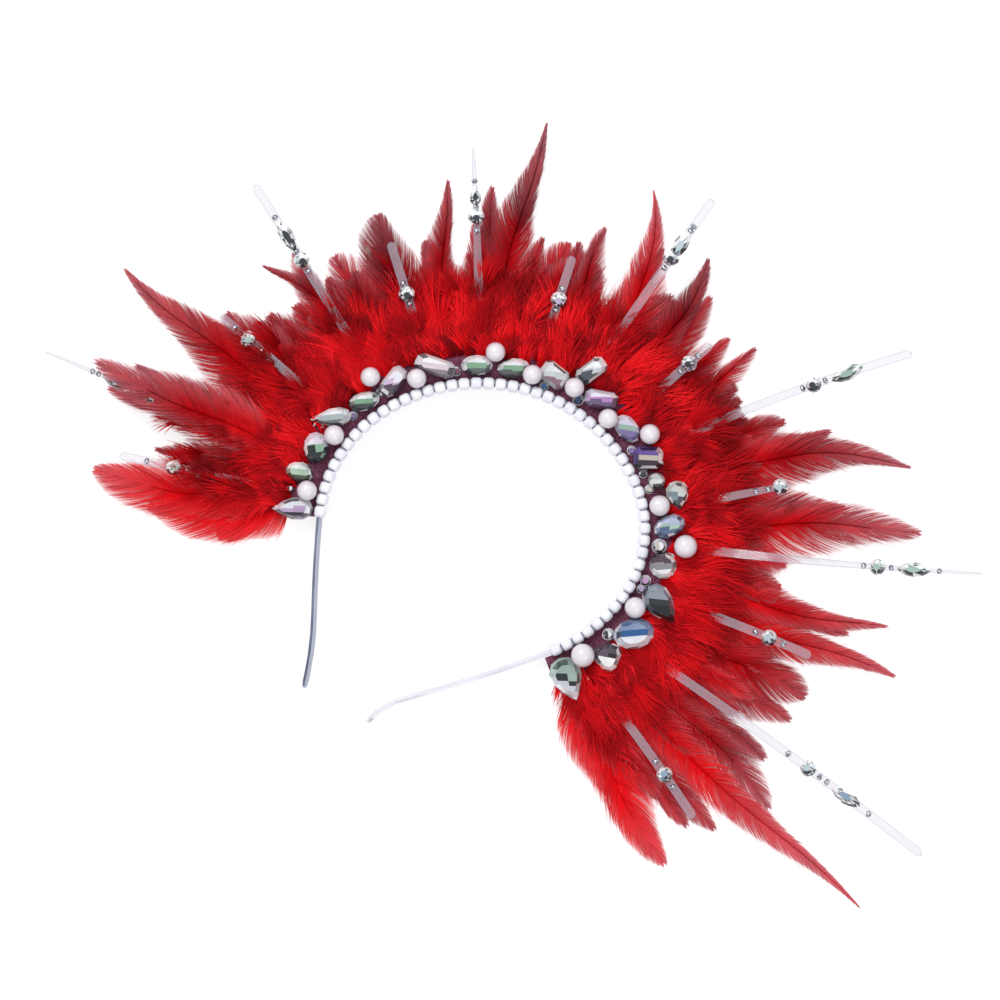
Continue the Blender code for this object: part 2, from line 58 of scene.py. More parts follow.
# %% Set the camera above the headband
VIEW_CENTRE = Vector((-16.7, -20.4, 0.0)) * MM
VIEW_HEIGHT = 4.0
VIEW_WIDTH = 0.4
VIEW_TURN = math.radians(33.0)


def add_object(name, data):
    """Put a camera, a light or a mesh in the scene as an object."""
    obj = bpy.data.objects.new(name, data)
    bpy.context.scene.collection.objects.link(obj)
    return obj


camera_data = bpy.data.cameras.new("camera")
camera_data.sensor_width = 36.0
camera_data.lens = camera_data.sensor_width * VIEW_HEIGHT / VIEW_WIDTH
camera_data.clip_end = 5 * VIEW_HEIGHT
camera = add_object("camera", camera_data)
camera.location = VIEW_CENTRE + Vector((0.0, 0.0, VIEW_HEIGHT))
camera.rotation_euler = (0.0, 0.0, VIEW_TURN)
bpy.context.scene.camera = camera
print("lens", round(camera_data.lens), "mm")

# %% [markdown]
# ## Colours and surfaces
# Colours are given as hex codes, which are made for screens, but a renderer counts light, so one
# function turns them into linear values. Each surface is a Principled shader, and one small helper adds the
# nodes of its pattern, so that the pattern reads in the order in which it is worked out.

# %% Helpers for surfaces
def linear(code):
    """Turn a screen colour such as "D8101A" into linear red, green, blue and alpha."""
    parts = [int(code[i:i + 2], 16) / 255 for i in (0, 2, 4)]
    return [p / 12.92 if p <= 0.04045 else ((p + 0.055) / 1.055) ** 2.4 for p in parts] + [1.0]


def add_node(tree, kind, settings=(), links=()):
    """Add a shader node, set its properties, sockets and colour stops, and link other nodes' sockets into it."""
    node = tree.nodes.new("ShaderNode" + kind)
    for key, value in dict(settings).items():
        if key == "stops":
            stops = node.color_ramp.elements
            for number, (position, code) in enumerate(value):
                stop = stops[number] if number < 2 else stops.new(position)
                stop.position, stop.color = position, linear(code)
        elif isinstance(key, int) or key in node.inputs:
            node.inputs[key].default_value = value
        else:
            setattr(node, key, value)
    for key, socket in dict(links).items():
        tree.links.new(socket, node.inputs[key])
    return node


def new_surface(name, **sockets):
    """Start a surface and return it with its node tree and its shader, whose sockets are set by name."""
    surface = bpy.data.materials.new(name)
    surface.use_nodes = True
    shader = surface.node_tree.nodes["Principled BSDF"]
    for key, value in sockets.items():
        shader.inputs[key.replace("_", " ")].default_value = value
    return surface, surface.node_tree, shader


print("red in linear light:", [round(c, 3) for c in linear("D8101A")[:3]])

# %% [markdown]
# ## The line of the band
# Beads, felt, stones and pearls all follow one line, the middle of the band. It is walked in nine stretches of
# even curvature, as the maker bends the steel, so any piece is placed by how far it lies along the band and how
# far outside it. The feathers and strips fan out from one middle instead, at clockwise angles.

# %% Walk along the band
Stretch = namedtuple("Stretch", "place length turn")
BAND_STRETCHES = [Stretch(*row) for row in [
    ("left tip flares out", 29.5, 13.0),
    ("left leg", 39.3, -3.8),
    ("left temple", 49.3, -50.9),
    ("left of the crown", 55.5, -44.6),
    ("crown", 64.7, -55.5),
    ("right of the crown", 50.5, -63.1),
    ("right temple", 35.0, -30.0),
    ("right leg", 61.0, -6.2),
    ("right tip flares out", 17.5, 37.0),
]]
BAND_START = (-28.0, -86.0)
BAND_HEADING = 108.7
FAN_MIDDLE = Vector((-13.571, -39.884, 0.0))


def band_line():
    """Return (along, x, y, heading) every millimetre or so, from the left tip to the right one."""
    x, y = BAND_START
    heading, along = math.radians(BAND_HEADING), 0.0
    line = [(along, x, y, heading)]
    for stretch in BAND_STRETCHES:
        steps = round(stretch.length)
        step, turn = stretch.length / steps, math.radians(stretch.turn) / steps
        for _ in range(steps):
            x += step * math.cos(heading + turn / 2)
            y += step * math.sin(heading + turn / 2)
            heading += turn
            along += step
            line.append((along, x, y, heading))
    return np.array(line)


LINE = band_line()


def on_line(along):
    """Return x, y and heading at a distance from the left tip."""
    return [float(np.interp(along, LINE[:, 0], LINE[:, column])) for column in (1, 2, 3)]


def beside(along, out, z):
    """Return the point outside the band's line, in millimetres in the model's frame."""
    x, y, heading = on_line(along)
    return FAN_MIDDLE + Vector((x - out * math.sin(heading), y + out * math.cos(heading), z))


def fan_point(degrees, radius, z):
    """Return the point at a clockwise angle and a distance from the middle of the fan."""
    angle = math.radians(degrees)
    return FAN_MIDDLE + Vector((radius * math.sin(angle), radius * math.cos(angle), z))


def fan_side(degrees):
    """Return the direction across the fan, clockwise, at an angle."""
    angle = math.radians(degrees)
    return Vector((math.cos(angle), -math.sin(angle), 0.0))


print("band length", round(LINE[-1, 0]), "mm")

# %% [markdown]
# ## Finishing a piece
# Shapes are modelled in millimetres and scaled to metres at the end. Each finished piece is told what it moves
# with and which imported piece it stands for.

# %% Helpers for pieces
def finish_piece(obj, replaced=()):
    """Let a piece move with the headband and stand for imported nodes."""
    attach(obj, "root")
    if replaced:
        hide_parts(*replaced)


def sort_faces(bm):
    """Put faces in the order of their corners' places, because an extrusion leaves them in a new order each run."""
    corners = {face: sorted(tuple(vert.co) for vert in face.verts) for face in bm.faces}
    rank = {face: number for number, face in enumerate(sorted(corners, key=corners.get))}
    bm.faces.sort(key=rank.get)


def piece_from(name, bm, surface, smooth_degrees=None):
    """Turn a bmesh in millimetres into an object in metres."""
    sort_faces(bm)
    bmesh.ops.scale(bm, vec=(MM, MM, MM), verts=bm.verts)
    mesh = bpy.data.meshes.new(name)
    bm.to_mesh(mesh)
    bm.free()
    mesh.materials.append(surface)
    if smooth_degrees:
        mesh.shade_smooth()
        mesh.set_sharp_from_angle(angle=math.radians(smooth_degrees))
    return add_object(name, mesh)


def join_part(bm, part):
    """Add a small bmesh, with its colours, to a larger one."""
    mesh = bpy.data.meshes.new("part")
    part.to_mesh(mesh)
    part.free()
    bm.from_mesh(mesh)
    bpy.data.meshes.remove(mesh)


def axis_along(along, out, z):
    """Return the matrix that stands a shape's z axis along the band, at a place beside its line."""
    return (Matrix.Translation(beside(along, out, z)) @ Matrix.Rotation(on_line(along)[2], 4, "Z")
            @ Matrix.Rotation(math.pi / 2, 4, "Y"))


def raise_face(bm, face, rise, size, twist=0.0):
    """Extrude a face upwards, then shrink and turn it about the z axis, and return the new face."""
    made = bmesh.ops.extrude_face_region(bm, geom=[face])
    bmesh.ops.delete(bm, geom=[face], context="FACES_ONLY")
    top = next(item for item in made["geom"] if isinstance(item, bmesh.types.BMFace))
    bmesh.ops.translate(bm, vec=(0.0, 0.0, rise), verts=top.verts)
    bmesh.ops.scale(bm, vec=(size, size, 1.0), verts=top.verts)
    bmesh.ops.rotate(bm, cent=(0.0, 0.0, 0.0), matrix=Matrix.Rotation(twist, 3, "Z"), verts=top.verts)
    return top


def loft(bm, rings):
    """Make a closed body by extruding one ring's face to the next."""
    face = bm.faces.new([bm.verts.new(point) for point in rings[0]])
    for number, ring in enumerate(rings[1:]):
        made = bmesh.ops.extrude_face_region(bm, geom=[face])
        if number > 0:
            bmesh.ops.delete(bm, geom=[face], context="FACES_ONLY")
        face = next(item for item in made["geom"] if isinstance(item, bmesh.types.BMFace))
        for vert, point in zip(face.verts, ring):
            vert.co = point


print("helpers ready")

# %% [markdown]
# ## The steel band
# The band is a strip of cold rolled steel with a nickel finish: grey with a cool cast, and fine lines along it
# from rolling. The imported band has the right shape, with rounded flared tips, so it keeps its mesh and only
# gets a surface. The fine lines are a noise stretched along the band, drawn 0.4 mm apart so that they show. A
# polished face shows the room: the left leg mirrors its darker side and the right leg its bright one, which is
# painted here as a change of tone from left to right. The bright leg is duller too, so that it doesn't burn out.

# %% Nickel finish on the band
STEEL_LINE, STEEL_LINE_DEPTH = 0.4, 0.02
LINES_ACROSS = 60.0  # in each metre, so that a line runs on for about 17 mm
DARK_UP_TO, LIGHT_FROM = -36, -16
steel, tree, shader = new_surface("rolled steel, nickel plated", Metallic=1.0)
place = add_node(tree, "TexCoord")
lines = add_node(tree, "Mapping", {"Scale": (LINES_ACROSS, LINES_ACROSS, 1.0 / (STEEL_LINE * MM))},
                 {"Vector": place.outputs["Object"]})
grain = add_node(tree, "TexNoise", {"Scale": 1.0, "Detail": 2.0}, {"Vector": lines.outputs["Vector"]})
split = add_node(tree, "SeparateXYZ", links={"Vector": place.outputs["Object"]})
side = add_node(tree, "MapRange", {"From Min": DARK_UP_TO * MM, "From Max": LIGHT_FROM * MM},
                {"Value": split.outputs["X"]})
dark = add_node(tree, "ValToRGB", {"stops": [(0.35, "747A94"), (0.65, "A2A7BE")]}, {"Fac": grain.outputs["Fac"]})
light = add_node(tree, "ValToRGB", {"stops": [(0.35, "DBDCE3"), (0.65, "EFEFF4")]}, {"Fac": grain.outputs["Fac"]})
tone = add_node(tree, "Mix", {"data_type": "RGBA"},
                {0: side.outputs["Result"], 6: dark.outputs["Color"], 7: light.outputs["Color"]})
tree.links.new(tone.outputs[2], shader.inputs["Base Color"])
dull = add_node(tree, "MapRange", {"To Min": 0.24, "To Max": 0.6}, {"Value": side.outputs["Result"]})
tree.links.new(dull.outputs["Result"], shader.inputs["Roughness"])
relief = add_node(tree, "Bump", {"Strength": 0.6, "Distance": STEEL_LINE_DEPTH * MM}, {"Height": grain.outputs["Fac"]})
tree.links.new(relief.outputs["Normal"], shader.inputs["Normal"])
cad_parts["band"].data.materials.clear()
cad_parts["band"].data.materials.append(steel)
print("band surfaced")

# %% [markdown]
# ## The row of white beads
# The beads are opaque white glass, pressed as short barrels that fill the row. On the real band each is threaded
# and tied down with a turn of fine wire between two beads. A round ball would leave wide notches between
# neighbours, so each bead is a short cylinder with well rounded rims. The turns of wire are thin rings, a
# little outwards and up from the beads' middle, that show as dark dashes between them.

# %% Beads
BEAD_FIRST = 70.8
BEAD_PITCH = 4.9
BEAD_COUNT = 52
BEAD_RADIUS = 2.5
BEAD_LENGTH = 4.75
BEAD_RIM = 1.5
BEAD_CENTRE_Z = 8.7
BEAD_IN = 0.2
OPAL_CLOUDS = 180.0  # in each metre, so about 5.6 mm wide, a little more than a bead

bm = bmesh.new()
for number in range(BEAD_COUNT):
    bmesh.ops.create_cone(bm, cap_ends=True, segments=20, radius1=BEAD_RADIUS, radius2=BEAD_RADIUS,
                          depth=BEAD_LENGTH,
                          matrix=axis_along(BEAD_FIRST + number * BEAD_PITCH, -BEAD_IN, BEAD_CENTRE_Z))
rims = [edge for edge in bm.edges if any(len(face.verts) > 4 for face in edge.link_faces)]
bmesh.ops.bevel(bm, geom=rims, affect="EDGES", offset=BEAD_RIM, segments=4, profile=0.5, material=-1)

opal, tree, shader = new_surface("white opal glass, moulded", Roughness=0.14, IOR=1.5, Coat_Weight=0.5,
                                 Coat_Roughness=0.05)
place = add_node(tree, "TexCoord")
cloud = add_node(tree, "TexNoise", {"Scale": OPAL_CLOUDS, "Detail": 2.0}, {"Vector": place.outputs["Object"]})
milk = add_node(tree, "ValToRGB", {"stops": [(0.35, "EAEAF2"), (0.6, "FAFAFD")]}, {"Fac": cloud.outputs["Fac"]})
# Towards its rim, as the camera sees it, each bead turns lavender grey: painted shade.
rim = add_node(tree, "LayerWeight", {"Blend": 0.3})
shade = add_node(tree, "RGB")
shade.outputs[0].default_value = linear("CBC9DC")
tone = add_node(tree, "Mix", {"data_type": "RGBA"},
                {0: rim.outputs["Facing"], 6: milk.outputs["Color"], 7: shade.outputs[0]})
tree.links.new(tone.outputs[2], shader.inputs["Base Color"])
finish_piece(piece_from("white_beads", bm, opal, 60), ["bead_row"])
print("beads:", BEAD_COUNT)

# %% Turns of wire between the beads
WIRE_RADIUS, WIRE_SIDES = 0.16, 5
TURN_RADIUS, TURN_STEPS = 1.6, 16
TURN_OUT, TURN_UP = 0.35, 0.45
DRAW_MARK = 0.5


def add_wire_turn(bm, along):
    """Bend one closed turn of wire round the band, by spinning a small circle."""
    made = bmesh.ops.create_circle(bm, segments=WIRE_SIDES, radius=WIRE_RADIUS)["verts"]
    bmesh.ops.rotate(bm, cent=(0, 0, 0), matrix=Matrix.Rotation(math.pi / 2, 3, "X"), verts=made)
    bmesh.ops.translate(bm, vec=(TURN_RADIUS, 0, 0), verts=made)
    edges = list({edge for vert in made for edge in vert.link_edges})
    before = set(bm.verts)
    bmesh.ops.spin(bm, geom=made + edges, cent=(0, 0, 0), axis=(0, 0, 1), angle=2 * math.pi, steps=TURN_STEPS,
                   use_merge=True, use_duplicate=False)
    turn = [vert for vert in bm.verts if vert not in before] + [vert for vert in made if vert.is_valid]
    bmesh.ops.transform(bm, matrix=axis_along(along, TURN_OUT, BEAD_CENTRE_Z + TURN_UP), verts=turn)


bm = bmesh.new()
for number in range(BEAD_COUNT - 1):
    add_wire_turn(bm, BEAD_FIRST + (number + 0.5) * BEAD_PITCH)
bmesh.ops.recalc_face_normals(bm, faces=bm.faces)
wire, tree, shader = new_surface("drawn steel wire", Metallic=1.0, Roughness=0.35)
place = add_node(tree, "TexCoord")
marks = add_node(tree, "TexNoise", {"Scale": 1 / (DRAW_MARK * MM)}, {"Vector": place.outputs["Object"]})
tone = add_node(tree, "ValToRGB", {"stops": [(0.3, "5C5F72"), (0.7, "9497AA")]}, {"Fac": marks.outputs["Fac"]})
tree.links.new(tone.outputs["Color"], shader.inputs["Base Color"])
finish_piece(piece_from("bead_wire", bm, wire, 60))
print("turns of wire:", BEAD_COUNT - 1)

# %% [markdown]
# ## The felt strip
# The strip under the stones is dense wool felt in a dark plum. Felt has no threads in rows, only short fibres
# in every direction, so it gets a sheen, a fine mottled colour and a rough relief from the same noise.
# The strip is lofted along the band with a rounded section rather than cut as a sharp box.

# %% Felt strip
FELT_FROM, FELT_TO, FELT_STEP = 68.5, 326.0, 2.5
FELT_SECTION = [(1.5, 4.5), (2.0, 4.05), (14.4, 4.05), (15.0, 4.5),
                (15.0, 5.5), (14.4, 5.98), (2.0, 5.98), (1.5, 5.5)]
FELT_OUTER, FELT_TOP = 15.0, 6.0
FIBRE, FIBRE_DEPTH = 0.8, 0.3  # drawn coarser than wool is, so that it shows
steps = round((FELT_TO - FELT_FROM) / FELT_STEP)
rings = []
for i in range(steps + 1):
    along = FELT_FROM + (FELT_TO - FELT_FROM) * i / steps
    rings.append([beside(along, out, z) for out, z in FELT_SECTION])
bm = bmesh.new()
loft(bm, rings)
bmesh.ops.recalc_face_normals(bm, faces=bm.faces)

felt, tree, shader = new_surface("wool felt, plum dyed", Roughness=0.95, Sheen_Weight=0.5, Sheen_Roughness=0.5)
shader.inputs["Sheen Tint"].default_value = linear("8A5068")
place = add_node(tree, "TexCoord")
fibre = add_node(tree, "TexNoise", {"Scale": 1 / (FIBRE * MM), "Detail": 4.0, "Distortion": 1.5},
                 {"Vector": place.outputs["Object"]})
tone = add_node(tree, "ValToRGB", {"stops": [(0.35, "451627"), (0.7, "8E4E69")]}, {"Fac": fibre.outputs["Fac"]})
tree.links.new(tone.outputs["Color"], shader.inputs["Base Color"])
relief = add_node(tree, "Bump", {"Strength": 0.6, "Distance": FIBRE_DEPTH * MM}, {"Height": fibre.outputs["Fac"]})
tree.links.new(relief.outputs["Normal"], shader.inputs["Normal"])
finish_piece(piece_from("felt_strip", bm, felt, 60), ["base_strip"])
print("felt sections:", len(rings))

# %% [markdown]
# ## The cut stones
# The stones are lead glass with a foil back and an iridescent coating. Each facet mirrors another part of the
# room, so neighbouring facets jump from white to pale green, lilac or nearly black. Real refraction would need
# dark cards round the set and many light bounces. Here the reflections are painted: each facet gets its own
# flat colour, picked by where it faces, a painted light reflection towards the top of the picture, a painted
# dark one below, and a coloured patch in the table.

# %% Stone sizes and looks
STONE_SEAT = 6.3
STONE_SIDES = 12
PEAR_BELLY, PEAR_TAPER, TRILLION_BULGE = 1.22, 0.8, 0.12
OCTAGON = [(0.5, -0.28), (0.5, 0.28), (0.34, 0.5), (-0.34, 0.5),
           (-0.5, 0.28), (-0.5, -0.28), (-0.34, -0.5), (0.34, -0.5)]
# The last three colours of a stone: its table's patch, then crown and lower, the painted reflections of facets that
# face the top and the bottom of the picture.
Stone = namedtuple("Stone", "shape along out length width height turn table crown lower")
STONES = [Stone(*row) for row in [
    ("pear", 70.6, 11.0, 16.5, 9.4, 5.5, 7, "B79CC0", "DFE2E8", "35323C"),
    ("oval", 83.0, 11.8, 11.5, 8.4, 5.2, 0, "A9C4AE", "E6E8E6", "55564E"),
    ("oval", 92.6, 9.8, 12.6, 10.4, 5.4, -60, "8FB59A", "E4DCE8", "2E3434"),
    ("pear", 103.8, 12.0, 16.6, 7.8, 5.4, 48, "A8B4B4", "EEF0F4", "6E767A"),
    ("oval", 115.8, 7.6, 12.8, 7.6, 5.0, 70, "7FA88A", "E6EAEA", "4A4E4E"),
    ("octagon", 128.4, 8.5, 13.4, 7.2, 5.2, -64, "CDB4D2", "E8E6EE", "5C505E"),
    ("octagon", 144.4, 8.7, 16.6, 7.2, 5.4, 58, "E4D4DC", "F2F2F6", "8A8088"),
    ("oval", 159.3, 7.1, 12.8, 8.2, 5.0, 89, "86AE90", "ECEEF0", "606866"),
    ("oval", 172.6, 7.1, 13.2, 7.8, 5.0, -74, "84AC8E", "ECEEF2", "5A625E"),
    ("octagon", 187.4, 8.9, 12.0, 8.6, 5.2, -106, "C8CED2", "E8ECEE", "8E6E7C"),
    ("octagon", 197.8, 17.2, 13.0, 7.6, 5.4, -22, "C4CCD0", "EEF2F4", "50565A"),
    ("octagon", 205.9, 10.0, 13.6, 7.2, 5.4, -62, "B884BE", "E4E0EC", "6A5A78"),
    ("oval", 219.6, 9.0, 12.6, 8.8, 5.0, -88, "9DB8AC", "D8D4E8", "7C6E9C"),
    ("octagon", 232.4, 9.2, 12.0, 9.2, 5.4, -29, "BDB4A8", "6E58A0", "3C343A"),
    ("round", 240.8, 8.2, 7.0, 7.0, 4.4, 0, "D8DCDC", "B8BCBC", "4A4A4C"),
    ("pear", 247.2, 14.6, 12.0, 9.6, 5.2, -98, "7E9298", "C8CCC6", "4C5458"),
    ("oval", 256.4, 10.0, 13.4, 9.0, 5.0, 24, "A4C0AC", "B4BED8", "5E6C8C"),
    ("round", 269.6, 9.3, 11.4, 10.8, 5.4, 0, "8C8C8E", "5A4A54", "F0F0F2"),
    ("pear", 281.4, 14.4, 18.0, 12.0, 6.4, -25, "34383C", "8E98A2", "24282A"),
    ("oval", 293.8, 13.0, 17.0, 12.2, 6.4, 56, "2F5E96", "8898B8", "E8EAF0"),
    ("trillion", 305.6, 12.8, 12.2, 12.2, 6.0, -30, "2E2830", "5C505C", "F2F2F2"),
    ("pear", 321.0, 12.7, 18.2, 13.2, 6.2, 0, "2E3234", "9CB0A8", "C8CCD4"),
]]
PICTURE_UP = Vector((-math.sin(VIEW_TURN), math.cos(VIEW_TURN), 0.0))
print("stones:", len(STONES))

# %% Cut a stone and colour its facets
FOOT_SIZE, WALL_RISE = 0.92, 0.32
CROWN_ROWS = [(0.3, 0.88, 0.5), (0.38, 0.74, -0.5)]  # rise, size and turn in half sides
PATCH_FROM, PATCH_TO = -0.35, 0.28  # the table's own colour lies between these, in half sizes
# Painted white glints and dark flashes: up to which share of facets, colour, and how strongly it is mixed in.
FLASHES = [(0.2, "FFFFFF", 0.85), (0.36, "16161C", 0.8), (0.46, None, 0.7)]  # None is the table's colour


def stone_outline(shape):
    """Return a stone's outline, 1 long and 1 wide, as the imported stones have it."""
    if shape == "octagon":
        return OCTAGON
    points = []
    for i in range(STONE_SIDES):
        angle = 2 * math.pi * i / STONE_SIDES
        x, y = math.cos(angle) / 2, math.sin(angle) / 2
        if shape == "pear":
            y *= PEAR_BELLY * math.sin(angle / 2) ** PEAR_TAPER
        if shape == "trillion":
            bulge = 1 + TRILLION_BULGE * (math.cos(3 * angle) - 0.5)
            x, y = x * bulge, y * bulge
        points.append((x, y))
    return points


def cut_stone(bm, outline, length, width, height, step_cut, bands):
    """Cut wall, crown and table: step cut facets lie in rows, brilliant ones are turned half a side.

    The table is parted by straight cuts, because it mirrors the foil's facets behind it as bands.
    """
    face = bm.faces.new([bm.verts.new((x * FOOT_SIZE, y * FOOT_SIZE, 0.0)) for x, y in outline])
    bottom = list(face.verts)
    face = raise_face(bm, face, WALL_RISE * height, 1 / FOOT_SIZE)
    side_turn = 0.0 if step_cut else math.pi / len(outline)
    for rise, size, turn in CROWN_ROWS:
        face = raise_face(bm, face, rise * height, size, side_turn * turn)
    bm.normal_update()
    for x, y, degrees in bands:
        table = [item for item in bm.faces if item.normal.z > 0.99]
        way = (math.cos(math.radians(degrees)), math.sin(math.radians(degrees)), 0.0)
        parts = {item for table_face in table for item in (table_face, *table_face.edges, *table_face.verts)}
        bmesh.ops.bisect_plane(bm, geom=list(parts), plane_co=(x, y, 0.0), plane_no=way)
        bm.normal_update()
    bm.faces.new(list(reversed(bottom)))
    bmesh.ops.scale(bm, vec=(length, width, 1.0), verts=bm.verts)
    bmesh.ops.recalc_face_normals(bm, faces=bm.faces)


def blend_colours(one, other, share):
    """Mix two linear colours."""
    return [a + (b - a) * share for a, b in zip(one, other)]


def colour_facets(bm, table, crown, lower, size, rng):
    """Give each facet one flat colour of painted reflection: the crown colour for facets towards the top of the
    picture, the lower one towards the bottom, the table's patch between them, and here and there a painted
    white glint or dark flash."""
    sort_faces(bm)
    layer = bm.loops.layers.float_color.new("facet")
    table, crown, lower = linear(table), linear(crown), linear(lower)
    middle = sum((vert.co for vert in bm.verts), Vector()) / len(bm.verts)
    for face in bm.faces:
        up = (face.calc_center_median() - middle).dot(PICTURE_UP) / (size / 2)
        if face.normal.z > 0.97:
            up = up * 2.2 + rng.uniform(-0.25, 0.25)
            colour = crown if up > PATCH_TO else (table if up > PATCH_FROM else lower)
        else:
            up = 0.9 * up + 0.5 * face.normal.dot(PICTURE_UP) + rng.uniform(-0.3, 0.3)
            colour = blend_colours(lower, crown, min(1.0, max(0.0, 0.6 + 1.4 * up)))
            draw = rng.random()
            flash = next((row for row in FLASHES if draw < row[0]), None)
            if flash:
                colour = blend_colours(colour, linear(flash[1]) if flash[1] else table, flash[2])
        shade = rng.uniform(0.88, 1.08)
        for loop in face.loops:
            loop[layer] = [min(1.0, part * shade) for part in colour[:3]] + [1.0]


crystal, tree, shader = new_surface("lead glass, cut, foiled and coated", Metallic=0.15, Roughness=0.08,
                                    IOR=1.6, Coat_Weight=0.4, Coat_Roughness=0.02, Specular_IOR_Level=0.3)
facet = add_node(tree, "Attribute", {"attribute_name": "facet"})
tree.links.new(facet.outputs["Color"], shader.inputs["Base Color"])
print("crystal ready")

# %% Place the stones
CUTS_FROM_MIDDLE = (0.13, -0.15)
rng = np.random.default_rng(22)
for number, row in enumerate(STONES, 1):
    bm = bmesh.new()
    turn = on_line(row.along)[2] + math.pi / 2 + math.radians(row.turn)
    level = 90 + math.degrees(VIEW_TURN - turn) + rng.uniform(-12, 12)
    bands = [(*rng.uniform(-0.04, 0.04, 2), level + 90), (*rng.uniform(-0.12, 0.12, 2), level)]
    bands += [(out * math.cos(math.radians(level)), out * math.sin(math.radians(level)), level)
              for out in CUTS_FROM_MIDDLE]
    cut_stone(bm, stone_outline(row.shape), row.length, row.width, row.height, row.shape == "octagon", bands)
    stand = Matrix.Translation(beside(row.along, row.out, STONE_SEAT)) @ Matrix.Rotation(turn, 4, "Z")
    bmesh.ops.transform(bm, matrix=stand, verts=bm.verts)
    bm.normal_update()
    colour_facets(bm, row.table, row.crown, row.lower, (row.length + row.width) / 2, rng)
    name = f"stone_{number:02d}"
    finish_piece(piece_from("cut_" + name, bm, crystal), [name])
print("stones cut:", len(STONES))

# %% [markdown]
# ## Tiny stones
# Between the large stones sit a few tiny ones in cup settings, which fill gaps on the felt. They are small
# enough for one short routine: a low brilliant cut on a thin silver cup.

# %% Tiny stones in the gaps
TinyStone = namedtuple("TinyStone", "along out size table")
TINY_LIFT, TINY_HEIGHT = 0.3, 0.5
CUP_LIFT, CUP_DEPTH, CUP_FOOT, CUP_RIM = 0.35, 0.7, 0.42, 0.56
TINY_STONES = [TinyStone(*row) for row in [
    (77.0, 13.6, 3.2, "C8B8D0"),
    (99.8, 12.6, 2.8, "B8C8C0"),
    (109.6, 6.0, 3.4, "7C6C8C"),
    (122.4, 7.2, 3.4, "6C5C78"),
    (151.6, 5.2, 3.6, "8A4A5A"),
    (185.4, 3.4, 3.4, "3F6EA8"),
    (199.2, 4.6, 4.2, "405078"),
    (226.8, 5.0, 3.4, "8A78B0"),
    (236.6, 4.4, 3.0, "4A4450"),
    (242.6, 4.4, 3.4, "C8C4B8"),
    (263.4, 6.2, 5.4, "CFC8B8"),
    (266.4, 11.6, 3.4, "E8E4E4"),
    (276.6, 4.6, 4.0, "C79BC4"),
    (280.0, 4.6, 3.4, "B4A0C8"),
    (300.6, 6.0, 4.4, "E8ECEC"),
]]
bm = bmesh.new()
cups = bmesh.new()
for row in TINY_STONES:
    part = bmesh.new()
    cut_stone(part, stone_outline("round"), row.size, row.size, row.size * TINY_HEIGHT, False, [(0.0, 0.0, 40.0)])
    bmesh.ops.translate(part, vec=beside(row.along, row.out, FELT_TOP + TINY_LIFT), verts=part.verts)
    part.normal_update()
    # Its facets get painted light and dark reflections, as the large stones do.
    colour_facets(part, row.table, "E4E4EA", "44424C", row.size, rng)
    join_part(bm, part)
    bmesh.ops.create_cone(cups, cap_ends=True, segments=14, radius1=row.size * CUP_FOOT,
                          radius2=row.size * CUP_RIM, depth=CUP_DEPTH,
                          matrix=Matrix.Translation(beside(row.along, row.out, FELT_TOP + CUP_LIFT)))
finish_piece(piece_from("tiny_stones", bm, crystal))
finish_piece(piece_from("tiny_cups", cups, steel, 40))
print("tiny stones:", len(TINY_STONES))

# %% [markdown]
# ## Pearls
# The pearls are glass balls with pearl lacquer under a clear gloss: a soft white with a pink cast that grows
# towards the rim, where the colour also darkens. It is mixed by Layer Weight, which only knows the angle
# between surface and eye. The pink cast is the lacquer's, which makes the rim of a real pearl look warmer; the
# darkening towards the rim is painted shade.

# %% Pearls
Pearl = namedtuple("Pearl", "along out width lift")
PEARLS = [Pearl(*row) for row in [
    (77.6, 6.6, 8.2, 1.1),
    (99.8, 6.4, 8.2, 1.2),
    (122.2, 14.4, 8.0, 0.3),
    (136.7, 6.0, 8.0, 1.1),
    (165.7, 12.5, 8.0, 0.6),
    (179.9, 6.2, 8.0, 2.1),
    (195.7, 7.9, 8.0, 1.5),
    (212.2, 6.0, 8.0, 1.5),
    (225.7, 14.7, 8.2, 0.6),
    (249.2, 6.7, 8.4, 0.4),
    (262.5, 16.6, 9.4, 0.3),
    (286.8, 6.5, 8.6, 0.7),
    (312.6, 6.9, 9.6, 1.6),
]]
lacquer, tree, shader = new_surface("glass pearl, lacquered", Roughness=0.22, IOR=1.5, Coat_Weight=0.8,
                                    Coat_Roughness=0.04)
rim = add_node(tree, "LayerWeight", {"Blend": 0.35})
# White in the middle, pinker and darker towards the rim: the lacquer's pink cast and painted shade.
tone = add_node(tree, "ValToRGB", {"stops": [(0.0, "EAE5E8"), (0.4, "D9CFD6"), (1.0, "A07C8E")]},
                {"Fac": rim.outputs["Facing"]})
tree.links.new(tone.outputs["Color"], shader.inputs["Base Color"])
for number, row in enumerate(PEARLS, 1):
    bm = bmesh.new()
    centre = beside(row.along, row.out, FELT_TOP + row.lift + row.width / 2)
    bmesh.ops.create_uvsphere(bm, u_segments=28, v_segments=18, radius=row.width / 2,
                              matrix=Matrix.Translation(centre))
    name = f"pearl_{number:02d}"
    finish_piece(piece_from("lacquered_" + name, bm, lacquer, 80), [name])
print("pearls:", len(PEARLS))

# %% [markdown]
# ## Clear strips
# The strips are cut from clear polyester film with rounded ends. Seen flat they are nearly invisible on white
# and a pale pink veil over the feathers, and their cut edges show as thin grey lines. Full refraction in such
# thin film only adds noise, so the film is a see-through surface with a denser narrow face along each edge.

